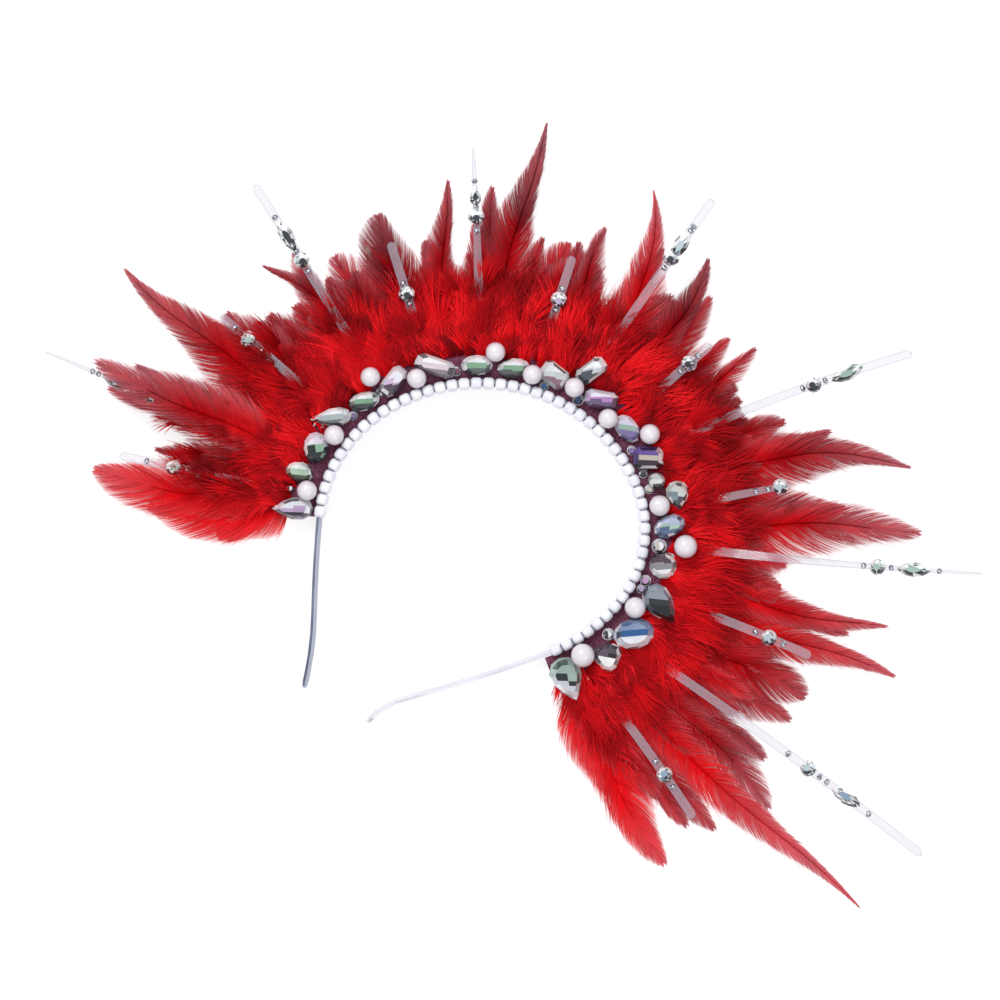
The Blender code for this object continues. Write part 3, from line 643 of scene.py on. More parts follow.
# %% Strip sizes
STRIP_WIDTH = 3.5
FILM_THICKNESS = 0.5
STRIP_ROOT_Z = 5.2
STRIP_LEVEL_TO = 88.0
STRIP_RISE = 0.2
STRIP_MIDDLE_ROLL = 0.6
Strip = namedtuple("Strip", "root_deg tip_deg reach bow tip_roll cut seeds")
LONG_STRIPS = [Strip(*row) for row in [
    (-98.0, -99.0, 189.0, 0.0, 80, (("marquise", 158.0), ("round", 144.0)), (168.9, 166.4, 150.4, 138.0)),
    (-65.0, -65.0, 169.0, 0.0, 10, (("marquise", 145.5), ("round", 134.0)), (153.9, 138.2, 129.0)),
    (-33.0, -34.0, 158.0, 0.0, 75, (("drop", 139.5), ("round", 131.0)), (145.2, 134.9, 125.4)),
    (0.0, 1.0, 166.0, 0.0, 10, (("marquise", 144.0), ("round", 137.5)), (152.9, 150.8, 132.8)),
    (28.5, 33.0, 188.0, 0.0, 10, (("marquise", 161.5), ("round", 147.5)), (152.4, 143.0)),
    (57.5, 60.2, 200.0, 2.6, 80, (("marquise", 173.0), ("round", 158.5)), (183.0, 164.0, 153.0)),
    (90.0, 92.0, 214.0, 0.0, 5, (("marquise", 176.5), ("round", 158.0)), (187.8, 167.2, 163.6, 148.3)),
]]
SHORT_STRIPS = [Strip(*row) for row in [
    (-108.0, -109.0, 148.0, 0.0, 10, (("round", 126.0),), (137.0, 120.6)),
    (-81.0, -81.5, 138.0, 0.0, 15, (("round", 124.0),), (130.6, 116.7)),
    (-49.0, -49.5, 126.0, 0.0, 10, (("round", 104.5),), (108.9, 100.4)),
    (-15.2, -15.2, 121.0, 0.0, 10, (("round", 103.0),), (107.7, 98.6)),
    (16.0, 16.0, 122.0, 0.0, 15, (("round", 110.5),), (115.2, 106.0)),
    (46.0, 46.0, 126.0, 0.0, 60, (("round", 122.0),), (117.2, 112.2)),
    (73.0, 75.5, 139.0, 0.0, 5, (("round", 121.0),), (127.2, 115.2)),
    (106.5, 108.9, 138.0, 0.0, 5, (("round", 117.5),), (123.4, 111.2)),
]]
ROOT_CLEAR = 0.6


def strip_root(degrees):
    """Return how far out a strip starts: just past the felt's outer edge at its angle."""
    way = fan_point(degrees, 1.0, 0.0) - FAN_MIDDLE
    edges = [beside(along, FELT_OUTER, 0.0) - FAN_MIDDLE for along in np.arange(FELT_FROM, FELT_TO, 1.0)]
    return max(edges, key=lambda edge: edge.normalized().dot(way)).length + ROOT_CLEAR


def strip_place(row, root, radius):
    """Return the fan angle and the height of a strip's middle at a distance from the middle of the fan."""
    share = (radius - root) / (row.reach - root)
    bow = math.degrees(row.bow * 4 * share * (1 - share) / radius)
    degrees = row.root_deg + (row.tip_deg - row.root_deg) * share + bow
    return degrees, STRIP_ROOT_Z + max(0.0, radius - STRIP_LEVEL_TO) * STRIP_RISE


print("strips:", len(LONG_STRIPS) + len(SHORT_STRIPS))

# %% [markdown]
# ### Film, cut beads and seed beads
# A strip is lofted from rings of eight points that roll towards the tip as the real film twists, and its end is
# rounded by narrowing the last rings along a half circle. The glass beads are lofted from six flat sided rings,
# and the long ones are drawn out to a point. The seed beads are silver lined and round.

# %% Surfaces of the strips
REFLECTION_PATCH = 0.9
film, tree, shader = new_surface("polyester film, cut", Roughness=0.12, IOR=1.57)
rim = add_node(tree, "Attribute", {"attribute_name": "rim"})
tint = add_node(tree, "ValToRGB", {"stops": [(0.0, "C6C5D1"), (1.0, "B0B2C0")]}, {"Fac": rim.outputs["Fac"]})
tree.links.new(tint.outputs["Color"], shader.inputs["Base Color"])
veil = add_node(tree, "MapRange", {"To Min": 0.23, "To Max": 0.4}, {"Value": rim.outputs["Fac"]})
tree.links.new(veil.outputs["Result"], shader.inputs["Alpha"])
silver, tree, shader = new_surface("silver lined glass seed bead", Metallic=0.9, Roughness=0.12)
place = add_node(tree, "TexCoord")
# The silver's base colour is mottled between dark grey and pale silver in patches about 0.9 mm wide: painted
# reflections.
reflection_patches = add_node(tree, "TexNoise", {"Scale": 1 / (REFLECTION_PATCH * MM)}, {"Vector": place.outputs["Object"]})
tone = add_node(tree, "ValToRGB", {"stops": [(0.4, "6E7280"), (0.6, "E6E8EC")]}, {"Fac": reflection_patches.outputs["Fac"]})
tree.links.new(tone.outputs["Color"], shader.inputs["Base Color"])
print("film and silver ready")

# %% Make the strips
TIP_ROUNDING = [(1.0, 1.0), (0.62, 0.92), (0.3, 0.72), (0.1, 0.44), (0.0, 0.16)]
FILM_RIM = 0.84
FILM_RINGS = 14
SEED_SIZE = (1.15, 1.4, 1.4)
GIRDLE_SIDES = 12
CUT_BEAD_SIZES = {"marquise": (14.0, 6.0, 5.4), "round": (6.4, 6.6, 6.4), "drop": (8.0, 6.0, 5.4)}
CUT_BEAD_RINGS = [(0.42, -0.5), (0.76, -0.36), (1.0, -0.06), (1.0, 0.06), (0.76, 0.36), (0.42, 0.5)]
CUT_BEAD_TINTS = ["A9C4B8", "B8AEC8", "BFD0D8", "8FA6BE"]


def strip_section(row, root, radius, width):
    """Return the film's section at a distance from the middle, square to its length and rolled."""
    degrees, z = strip_place(row, root, radius)
    middle = (STRIP_LEVEL_TO + row.reach) / 2
    rolls = [(STRIP_LEVEL_TO, 0.0), (middle, STRIP_MIDDLE_ROLL), (row.reach - STRIP_WIDTH / 2, 1.0)]
    roll = math.radians(row.tip_roll) * float(np.interp(radius, *zip(*rolls)))
    side, up = fan_side(degrees), Vector((0.0, 0.0, 1.0))
    across = (side * math.cos(roll) + up * math.sin(roll)) * STRIP_WIDTH / 2 * width
    through = (up * math.cos(roll) - side * math.sin(roll)) * FILM_THICKNESS / 2
    centre = fan_point(degrees, radius, z)
    lower = [centre - through + across * share for share in (-1, -FILM_RIM, FILM_RIM, 1)]
    return lower + [centre + through + across * share for share in (1, FILM_RIM, -FILM_RIM, -1)]


def bead_outline(kind):
    """Return the girdle of a cut bead, 1 long and 1 wide, with its length along x."""
    points = []
    for i in range(GIRDLE_SIDES):
        angle = 2 * math.pi * i / GIRDLE_SIDES
        x, y = math.cos(angle) / 2, math.sin(angle) / 2
        if kind == "marquise":
            y = math.copysign(0.5 * (1 - (2 * x) ** 2) ** 0.8, y) if abs(y) > 0.01 else 0.0
        if kind == "drop":
            y *= 1.0 - 0.55 * (x + 0.5)
        points.append((x, y))
    return points


def add_cut_bead(bm, kind, stand, rng):
    """Add one faceted glass bead with its length along x, cut alike above and below its girdle."""
    length, width, height = CUT_BEAD_SIZES[kind]
    outline = bead_outline(kind)
    part = bmesh.new()
    loft(part, [[(x * size, y * size, z) for x, y in outline] for size, z in CUT_BEAD_RINGS])
    bmesh.ops.triangulate(part, faces=[face for face in part.faces if len(face.verts) == 4])
    bmesh.ops.transform(part, matrix=stand @ Matrix.Diagonal((length, width, height, 1.0)), verts=part.verts)
    bmesh.ops.recalc_face_normals(part, faces=part.faces)
    # Its facets get painted light and dark reflections, as the stones do.
    colour_facets(part, rng.choice(CUT_BEAD_TINTS), "F6F8FA", "3C4046", (length + width) / 2, rng)
    join_part(bm, part)


def bead_stand(row, root, radius):
    """Return the matrix that threads a bead on a strip, with its x axis along the strip."""
    degrees, z = strip_place(row, root, radius)
    angle = math.radians(degrees)
    way = Vector((math.sin(angle), math.cos(angle), STRIP_RISE)).normalized()
    side = -fan_side(degrees)
    turn = Matrix((way, side, way.cross(side))).transposed().to_4x4()
    return Matrix.Translation(fan_point(degrees, radius, z)) @ turn


def film_piece(name, bm):
    """Make a piece of film whose narrow faces along both edges are marked as rim."""
    bmesh.ops.recalc_face_normals(bm, faces=bm.faces)
    layer = bm.faces.layers.float.new("rim")
    narrow = STRIP_WIDTH * (1 - FILM_RIM)
    for face in bm.faces:
        sides = sorted(edge.calc_length() for edge in face.edges)
        face[layer] = 1.0 if sides[0] < narrow else 0.0
    return piece_from(name, bm, film, 40)


def make_strip(name, row, rng):
    """Make one strip of film with its glass beads and seed beads."""
    root = strip_root(row.root_deg)
    rounded = STRIP_WIDTH / 2
    stops = [(radius, 1.0) for radius in np.linspace(root, row.reach - rounded, FILM_RINGS)[:-1]]
    stops += [(row.reach - rounded * left, width) for left, width in TIP_ROUNDING]
    bm = bmesh.new()
    loft(bm, [strip_section(row, root, radius, width) for radius, width in stops])
    finish_piece(film_piece(name + "_film", bm), [name])
    bm = bmesh.new()
    for kind, radius in row.cut:
        add_cut_bead(bm, kind, bead_stand(row, root, radius), rng)
    finish_piece(piece_from(name + "_cut_beads", bm, crystal))
    bm = bmesh.new()
    for radius in row.seeds:
        stand = bead_stand(row, root, radius) @ Matrix.Diagonal((*SEED_SIZE, 1.0))
        bmesh.ops.create_uvsphere(bm, u_segments=12, v_segments=8, radius=1.0, matrix=stand)
    finish_piece(piece_from(name + "_seeds", bm, silver, 60))


rng = np.random.default_rng(15)
for kind, rows in (("long_strip", LONG_STRIPS), ("short_strip", SHORT_STRIPS)):
    for number, row in enumerate(rows, 1):
        make_strip(f"{kind}_{number}", row, rng)
print("strips made:", len(LONG_STRIPS) + len(SHORT_STRIPS))

# %% [markdown]
# ## Feathers
# A cock's feather has a thin shaft with barbs on both sides. The barbs lie close near the shaft, where they
# make a dense vane, and come apart towards their ends, so the edge is hairy and light shines through it. Near
# its root the feather is soft down. Drawn as a flat shape with a picture of barbs, the edge would look cut out.
# So every barb here is a real narrow blade: thousands of them are laid out with arrays and joined to one mesh
# for each bunch, because one operator call for each barb would take minutes.

# %% Feather table
Feather = namedtuple("Feather", "root_deg tip_deg reach bow width tip_z point tone sheer")
BUNCH_EDGES = (-130.0, -93.5, -56.5, -17.5, 29.5, 61.5, 88.5, 130.0)
MAIN_FEATHERS = [Feather(*row) for row in [
    (-109, -112, 158, -2, 27, 2.6, 0.3, 0.72, 0.35),
    (-111, -116.5, 134, -2, 25, 2.0, 0.4, 0.8, 0.35),
    (-108, -120.5, 106, -2, 17, 1.6, 0.1, 0.85, 0.3),
    (-104, -106.5, 136, 0, 16, 2.4, 0.7, 0.35, 0.6),
    (-99, -97.4, 170, 1, 22, 27.5, 0.4, 0.3, 0.95),
    (-103, -100, 162, 3, 24, 3.4, 0.6, 0.4, 0.75),
    (-96, -95.3, 156, 0, 13, 3.0, 0.4, 0.1, 0.7),
    (-96, -96, 140, 1, 20, 2.6, 0.3, 0.3, 0.6),
    (-85, -85, 181, -4, 23, 5.0, 0.9, 0.3, 0.3),
    (-80.5, -80.5, 138, 0, 22, 3.0, 0.1, 0.3, 0.7),
    (-84, -84, 140, 0, 20, 2.4, 0.3, 0.2, 0.4),
    (-79, -79, 127, 1, 20, 3.6, 0.4, 0.35, 0.3),
    (-73, -74, 120, 0, 20, 2.4, 0.4, 0.3, 0.4),
    (-66, -71, 142, 6, 12, 5.0, 0.8, 0.2, 0.4),
    (-65, -65.5, 139, 0, 17, 2.4, 0.4, 0.45, 0.7),
    (-59, -59.6, 130, 0, 24, 3.0, 0.0, 0.3, 0.85),
    (-53, -52.5, 127, 0, 19, 2.6, 0.2, 0.2, 0.4),
    (-49.5, -50.3, 139, 0, 23, 3.6, 0.0, 0.05, 0.4),
    (-45, -43, 124, 0, 17, 2.2, 0.3, 0.2, 0.4),
    (-39, -38, 147, -4, 15, 5.0, 0.8, 0.2, 0.5),
    (-33, -33.5, 130, 0, 20, 3.0, 0.5, 0.3, 0.5),
    (-28, -24, 172, -2, 19, 5.0, 0.95, 0.08, 0.3),
    (-29, -31, 144, 0, 17, 2.4, 0.6, 0.2, 0.5),
    (-22, -21.5, 126, 0, 16, 2.2, 0.6, 0.25, 0.5),
    (-13, -11.3, 137, 0, 17, 3.4, 0.6, 0.2, 0.85),
    (-15, -15, 128, 0, 16, 2.4, 0.5, 0.25, 0.4),
    (3.5, -7.3, 159, 9, 22, 5.0, 1.0, 0.45, 0.7),
    (-1, -1.5, 140, 1, 15, 2.6, 0.6, 0.5, 0.6),
    (9.5, 5.4, 147, 5, 17, 4.6, 0.7, 0.1, 0.4),
    (9.5, 10, 136, 1, 18, 2.6, 0.5, 0.3, 0.5),
    (17, 21.6, 136, 2, 17, 4.0, 0.6, 0.35, 0.85),
    (17, 17.5, 130, 0, 15, 2.2, 0.5, 0.4, 0.5),
    (23, 25, 121, 0, 20, 2.4, 0.1, 0.2, 0.3),
    (28, 28.8, 118, 0, 22, 2.4, 0.0, 0.2, 0.3),
    (38, 47, 176, -8, 23, 4.6, 0.9, 0.25, 0.45),
    (34, 35, 132, 0, 18, 2.6, 0.4, 0.3, 0.4),
    (37, 39, 148, 0, 18, 2.2, 0.6, 0.3, 0.4),
    (50, 51, 147, 0, 20, 2.2, 0.5, 0.4, 0.4),
    (53, 55.4, 177, -2, 26, 5.0, 0.55, 0.35, 0.75),
    (68, 68.3, 167, 1, 15, 4.4, 0.8, 0.45, 0.5),
    (72, 74.7, 175, -1, 18, 3.0, 0.8, 0.5, 0.35),
    (69, 70.5, 152, 0, 16, 2.0, 0.6, 0.4, 0.5),
    (80, 82, 144, 0, 26, 3.4, 0.1, 0.32, 0.3),
    (86, 86.5, 143, 0, 20, 2.4, 0.4, 0.3, 0.6),
    (91, 94, 143, 0, 21, 2.6, 0.3, 0.2, 0.7),
    (96, 99.5, 157, -3, 22, 3.4, 0.4, 0.25, 0.85),
    (107, 100.7, 212, -2, 17, 5.0, 1.0, 0.6, 0.45),
    (107, 107.5, 148, 0, 22, 2.4, 0.5, 0.35, 0.4),
    (111, 110.5, 140, 0, 20, 2.8, 0.5, 0.4, 0.4),
    (111, 117, 148, 2, 24, 3.6, 0.4, 0.72, 0.3),
    (112, 118.5, 120, 2, 20, 2.4, 0.2, 0.8, 0.35),
]]
BLADE_WIDEST = 0.5
SHAFT_SWAY = 2.2
SHAFT_IN, SHAFT_ROOT_Z = 8.0, 1.8
print("main feathers:", len(MAIN_FEATHERS))

# %% [markdown]
# ### Where a feather lies
# A feather's shaft runs from the felt's edge to its tip with a sideways bow, and its vane is widest half way.
# Shorter feathers fill the fan below the long ones, and down covers their roots.

# %% Shaft line and vane outline
def shaft_line(row, shares):
    """Return points, forward and sideways directions along a feather's shaft, and its length."""
    start = np.array(fan_point(row.root_deg, strip_root(row.root_deg) - SHAFT_IN, SHAFT_ROOT_Z))
    end = np.array(fan_point(row.tip_deg, row.reach, row.tip_z))
    way = (end - start) * (1, 1, 0)
    way /= np.linalg.norm(way)
    side = np.array((way[1], -way[0], 0.0))
    bow = row.bow * 4 * shares * (1 - shares)
    bow = bow + SHAFT_SWAY * np.sin(math.pi * shares) * np.sin(6 * shares + row.reach)
    points = start + (end - start) * shares[:, None] + side * bow[:, None]
    slope = row.bow * 4 * (1 - 2 * shares) / np.linalg.norm(end - start)
    forward = way + side * slope[:, None]
    forward /= np.linalg.norm(forward, axis=1)[:, None]
    sideways = np.stack([forward[:, 1], -forward[:, 0], np.zeros(len(shares))], axis=1)
    return points, forward, sideways, np.linalg.norm(end - start)


def vane_half_width(row, shares):
    """Return half the vane's width: full half way along, round or pointed at the tip."""
    rising = 0.62 + 0.38 * np.sin(math.pi / 2 * np.clip(shares / BLADE_WIDEST, 0, 1))
    left = np.clip((1 - shares) / (1 - BLADE_WIDEST), 0, 1)
    falling = np.sqrt(np.clip(1 - (1 - left) ** 2, 0, 1)) * (1 - row.point) + left ** 1.25 * row.point
    return row.width / 2 * np.where(shares < BLADE_WIDEST, rising, falling)


class FeatherMesh:
    """Collects rows of points as arrays and makes them one mesh."""

    def __init__(self):
        self.points, self.faces, self.count = [], [], 0
        self.marks = {"tone": [], "edge": [], "cover": []}

    def add_sheet(self, path, tone, edge, cover):
        """Add sheets, (sheets, rows, columns, 3), with their marks for each point."""
        sheets, rows, columns = path.shape[:3]
        self.points.append(path.reshape(-1, 3))
        for label, value in (("tone", tone), ("edge", edge), ("cover", cover)):
            self.marks[label].append(np.broadcast_to(value, (sheets, rows, columns)).reshape(-1))
        first = (np.arange(sheets)[:, None, None] * rows * columns + np.arange(rows - 1)[None, :, None] * columns
                 + np.arange(columns - 1)[None, None, :]).reshape(-1) + self.count
        self.faces.append(np.stack([first, first + 1, first + columns + 1, first + columns], axis=1))
        self.count += sheets * rows * columns

    def add_blades(self, path, width, across, tone, edge):
        """Add narrow blades along paths, (blades, stations, 3)."""
        half = across * width[..., None] / 2
        both = np.stack([path - half, path + half], axis=2)
        self.add_sheet(both, np.asarray(tone)[..., None], np.asarray(edge)[..., None], 1.0)

    def make(self, name, surface):
        """Make the object and return it with its number of faces."""
        points = np.concatenate(self.points).astype(np.float32) * MM
        faces = np.concatenate(self.faces).astype(np.int32)
        mesh = bpy.data.meshes.new(name)
        mesh.vertices.add(len(points))
        mesh.vertices.foreach_set("co", points.ravel())
        mesh.loops.add(faces.size)
        mesh.loops.foreach_set("vertex_index", faces.ravel())
        mesh.polygons.add(len(faces))
        mesh.polygons.foreach_set("loop_start", np.arange(0, faces.size, 4, dtype=np.int32))
        for label, values in self.marks.items():
            attribute = mesh.attributes.new(label, "FLOAT", "POINT")
            attribute.data.foreach_set("value", np.concatenate(values).astype(np.float32))
        mesh.update(calc_edges=True)
        mesh.materials.append(surface)
        mesh.shade_smooth()
        return add_object(name, mesh), len(faces)


print("feather helpers ready")

# %% [markdown]
# ### Barbs and vane
# A barb leaves the shaft at 44 degrees near the root and closer to it towards the tip, and curves forward to end
# on the vane's outline. Near the shaft the barbs are hooked together by hooklets too fine to see, which makes a
# closed vane. A thin sheet stands for them: it is dense at the shaft and fades out towards the edge, more so in
# a sheer feather. The barbs lie on it and cling together in locks, which opens small notches at the edge.

# %% Paths and tones of the barbs
BARB_ANGLES = ([0, 0.5, 0.9, 1.0], [44, 27, 14, 3])  # share of the shaft's length, degrees
ROOT_TONE = 0.8
# Painted light: a feather is painted paler from FREE_FROM to FREE_TO mm out, where it stands free and light shines
# through it.
FREE_FROM, FREE_TO, BACKLIT_PALENESS = 95, 170, 0.4


def smooth_wave(rng, values, waves):
    """Return a slow random wave between -1 and 1 along the values."""
    total = np.zeros_like(values)
    for k in range(1, 4):
        total += np.sin(values * waves * k * rng.uniform(0.8, 1.2) + rng.uniform(0, 2 * math.pi)) / k
    return total / 1.83  # 1 + 1/2 + 1/3


def barb_paths(row, starts, swing, stretch, side, stations, length):
    """Return the paths of barbs that leave the shaft at the shares given as starts."""
    angle = np.radians(np.interp(starts, *BARB_ANGLES) + swing)
    ends = starts
    for _ in range(10):
        ends = (ends + np.clip(starts + vane_half_width(row, ends) / np.tan(angle) / length, 0, 1)) / 2
    reach = (vane_half_width(row, ends) + 0.2) * stretch
    advance = (ends - starts) * length
    points, forward, sideways, _ = shaft_line(row, starts)
    u = stations[None, :, None]
    path = points[:, None, :] + sideways[:, None, :] * side * reach[:, None, None] * (1.25 * u - 0.25 * u * u)
    return path + forward[:, None, :] * advance[:, None, None] * (0.65 * u + 0.35 * u * u), forward


def red_tone(row, starts):
    """Return how bright a feather is along its shaft: bright at the downy root, its own tone further out."""
    bright = np.clip(0.8 - 1.7 * (starts - 0.12), 0, 1)
    return row.tone + (ROOT_TONE - row.tone) * bright


def backlit_paleness(row, starts):
    """Return how much paler a feather is painted where it stands free of the others, as light shines through it."""
    return BACKLIT_PALENESS * np.clip((starts * row.reach - FREE_FROM) / (FREE_TO - FREE_FROM), 0, 1)


print("barb angles:", BARB_ANGLES[1])

# %% Lay one feather
BARB_SPACING = 0.34
BARB_WIDTH = 0.5
BARB_STATIONS = 5
HAIR_SHARE = 0.12
VANE_ROWS, VANE_COLUMNS = 34, 6
VANE_START, VANE_END = 0.16, 0.985
SHAFT_STATIONS = 12
SHAFT_THICK = (0.7, 0.1)


def add_vane(made, row, rng, side, share, length):
    """Lay the thin sheet that stands for the closed vane on one side of the shaft."""
    rows = np.linspace(VANE_START, VANE_END, VANE_ROWS)
    columns = np.linspace(0, 1, VANE_COLUMNS)
    path, _ = barb_paths(row, rows, 0.0, np.full(VANE_ROWS, 0.97 * share), side, columns, length)
    path[..., 2] = np.maximum(path[..., 2] + 0.25 * np.sin(math.pi * columns) - 0.15, 0.12)
    fade = np.interp(columns, [0, 0.4, 0.75, 1.0],
                     [1.0, 1.0 - 0.4 * row.sheer, 0.9 - 0.7 * row.sheer, 0.25 - 0.23 * row.sheer])
    # Painted shade: the sheet is a little darker than its barbs, in slow streaks along the shaft.
    streak_shade = 0.06 * smooth_wave(rng, rows, 30)[:, None] - 0.06
    # Painted light: the sheet turns pale towards its edge, more so in a sheer feather, as light shines through it.
    pale = 0.75 * row.sheer * columns ** 1.5 + backlit_paleness(row, rows)[:, None]
    made.add_sheet(path[None], red_tone(row, rows)[:, None] + streak_shade, pale, fade)


def add_barbs(made, row, rng, side, share, length, spacing):
    """Lay the barbs on one side of the shaft: most cling together in locks, a few stand out as hairs."""
    count = int(length * (1 - VANE_START) / spacing)
    stations = np.linspace(0, 1, BARB_STATIONS)
    starts = np.clip(np.linspace(VANE_START, VANE_END, count) + rng.normal(0, 0.0015, count), 0, 0.97)
    stretch = share * (1 + 0.06 * smooth_wave(rng, starts, 50) + rng.normal(0, 0.06, count))
    hair = rng.random(count) < HAIR_SHARE
    stretch *= np.where(hair, rng.uniform(1.0, 1.3, count), 1.0)
    swing = 3.0 * smooth_wave(rng, starts, 25) + rng.normal(0, 1.2, count)
    path, forward = barb_paths(row, starts, swing, stretch, side, stations, length)
    place = starts * length / rng.uniform(3.0, 5.0) + 0.4 * smooth_wave(rng, starts, 30)
    gather = (0.5 - place % 1.0) * rng.uniform(0.4, 1.8)
    path += forward[:, None, :] * gather[:, None, None] * (stations ** 2.5)[None, :, None]
    path[..., 2] += rng.normal(0.3, 0.25, count)[:, None] * stations + 0.5 * np.sin(math.pi * stations)
    path[..., 2] = np.maximum(path[..., 2] - 0.5 * stations ** 2, 0.15)
    run = path[:, -1] - path[:, 0]
    run /= np.linalg.norm(run, axis=1)[:, None] + 1e-9
    flat = np.stack([run[:, 1], -run[:, 0], np.zeros(count)], axis=1)
    tilt = rng.normal(0.2, 0.3, count)[:, None]
    across = flat * np.cos(tilt) + np.array((0, 0, 1.0)) * np.sin(tilt)
    taper = np.interp(stations, [0, 0.4, 0.75, 1.0], [1.0, 0.95 - 0.35 * row.sheer, 0.7 - 0.35 * row.sheer, 0.08])
    width = BARB_WIDTH * spacing / BARB_SPACING * taper[None, :] * rng.uniform(0.75, 1.15, count)[:, None]
    width *= np.where(hair, 0.6, 1.0)[:, None]
    # Slow waves of tone along the shaft are painted shade, where barbs cling in streaks; each barb also differs a
    # little at random.
    tone = red_tone(row, starts) + 0.1 * smooth_wave(rng, starts, 22) + rng.normal(0, 0.03, count)
    # Painted light: barbs get a little brighter and paler towards their thin ends, as light shines through them.
    tone = tone[:, None] + 0.05 * stations[None, :]
    edge = (0.06 + 0.6 * row.sheer) * stations[None, :] ** 2.2 + backlit_paleness(row, starts)[:, None]
    made.add_blades(path, width, np.repeat(across[:, None, :], BARB_STATIONS, axis=1), tone, edge)


def add_shaft(made, row):
    """Lay the shaft as three narrow blades that cross like a star."""
    shares = np.linspace(0.02, 0.62 + 0.33 * row.point, SHAFT_STATIONS)
    points, _, sideways, _ = shaft_line(row, shares)
    points[:, 2] += SHAFT_THICK[0] / 2
    thick = np.interp(shares, [0, 1], SHAFT_THICK)
    up = np.array((0, 0, 0.87))
    for across in (sideways, sideways * 0.5 + up, sideways * 0.5 - up):
        made.add_blades(points[None], thick[None], across[None], (red_tone(row, shares) - 0.1)[None],
                        np.zeros((1, SHAFT_STATIONS)))


def add_feather(made, row, rng, spacing=BARB_SPACING):
    """Lay sheet and barbs on both sides, and a shaft unless the feather is one of the coarser fillers."""
    length = shaft_line(row, np.array([0.0, 1.0]))[3]
    for side in (-1, 1):
        share = 1 + 0.12 * side * math.sin(7 * row.reach)
        add_vane(made, row, rng, side, share, length)
        add_barbs(made, row, rng, side, share, length, spacing)
    if spacing == BARB_SPACING:
        add_shaft(made, row)


print("barbs every", BARB_SPACING, "mm")

# %% [markdown]
# ### Down
# At the roots the barbs are soft and curl, and cover the feet of the strips. They grow in locks: the strands of
# a lock leave one small place, run side by side and curl the same way. Bright locks lie over dark ones, which
# are painted shade and give the deep red shadows between them.

# %% Lay one lock of down
STRAND_STATIONS = 6
STRAND_WIDTH = 0.34
LOCK_FOOT = 1.5


def add_lock(made, degrees, radius, z, lean, length, strands, tone, rng, climb=0.0):
    """Add strands that leave one place and curl the same way, and climb by a share of their length."""
    u = np.linspace(0, 1, STRAND_STATIONS)
    base = np.array(fan_point(degrees, radius, z))
    spread = rng.uniform(-1, 1, strands)
    heading = math.radians(90 - degrees) + lean + 0.2 * spread + rng.normal(0, 0.05, strands)
    curl = rng.normal(0, 0.45) + 0.25 * spread + rng.normal(0, 0.12, strands)
    reach = length * (1 - 0.3 * spread ** 2) * rng.uniform(0.75, 1.08, strands)
    turn = heading[:, None] + curl[:, None] * u[None, :]
    step = reach[:, None] / (STRAND_STATIONS - 1)
    start = np.zeros((strands, 1))
    x = np.concatenate([start, np.cumsum(np.cos(turn[:, 1:]) * step, axis=1)], axis=1)
    y = np.concatenate([start, np.cumsum(np.sin(turn[:, 1:]) * step, axis=1)], axis=1)
    rise = (rng.uniform(1.0, 2.6) + rng.normal(0, 0.3, strands))[:, None] * np.sin(math.pi * 0.7 * u)[None, :]
    side = np.array((math.sin(heading.mean()), -math.cos(heading.mean()), 0.0))
    foot = base - side * spread[:, None] * LOCK_FOOT + rng.normal(0, 1, (strands, 3)) * (0.3, 0.3, 0.2)
    path = np.stack([x, y, rise + climb * reach[:, None] * u[None, :]], axis=2) + foot[:, None, :]
    path[..., 2] = np.clip(path[..., 2], 0.2, None)
    direction = np.stack([np.cos(turn), np.sin(turn), np.zeros_like(turn)], axis=2)
    flat = np.stack([direction[..., 1], -direction[..., 0], np.zeros_like(turn)], axis=2)
    tilt = rng.normal(0.25, 0.35, strands)[:, None, None]
    across = flat * np.cos(tilt) + np.array((0, 0, 1.0)) * np.sin(tilt)
    taper = np.interp(u, [0, 0.6, 1], [1.0, 0.85, 0.2])
    width = STRAND_WIDTH * taper[None, :] * rng.uniform(0.7, 1.2, strands)[:, None]
    # Painted shade: a lock is darker on one side than the other, as if rolled, and each strand is darker at its root.
    shade = tone + (0.14 * spread + rng.normal(0, 0.04, strands))[:, None]
    shade = shade + 0.22 * np.sin(math.pi * 0.8 * u)[None, :] - 0.08
    made.add_blades(path, width, across, shade, 0.03 * u[None, :] * np.ones((strands, 1)))


print("down ready")

# %% [markdown]
# ### Feather colour
# The feathers are dyed: bright scarlet where the down is thin, crimson where the vane is dense, and nearly
# black where it is dense and shaded, which is painted shade. `tone` runs from the darkest to the brightest red
# and also carries painted shade: slow streaks, dark locks and the dark sides and roots of locks. `edge` turns the
# thin ends of the barbs pale, painted light that stands for light from all sides shining through them, and
# `cover` fades the vane's sheet out. Barbs scatter light in every direction, so the surface has hardly any
# gloss, which keeps the red deep.

# %% Feather surface
plume, tree, shader = new_surface("cock feather, dyed red", Roughness=0.8, Specular_IOR_Level=0.0)
tone = add_node(tree, "Attribute", {"attribute_name": "tone"})
edge = add_node(tree, "Attribute", {"attribute_name": "edge"})
cover = add_node(tree, "Attribute", {"attribute_name": "cover"})
# The dyed reds, whose darkest end stands for painted shade.
dye_and_shade = [(0.0, "5C060C"), (0.25, "96070E"), (0.5, "C20A11"), (0.8, "EC1219"), (1.0, "FA1E24")]
reds = add_node(tree, "ValToRGB", {"stops": dye_and_shade}, {"Fac": tone.outputs["Fac"]})
pale = add_node(tree, "RGB")
pale.outputs[0].default_value = linear("DC8E98")
mix = add_node(tree, "Mix", {"data_type": "RGBA"},
               {0: edge.outputs["Fac"], 6: reds.outputs["Color"], 7: pale.outputs[0]})
tree.links.new(mix.outputs[2], shader.inputs["Base Color"])
tree.links.new(cover.outputs["Fac"], shader.inputs["Alpha"])
print("plume ready")
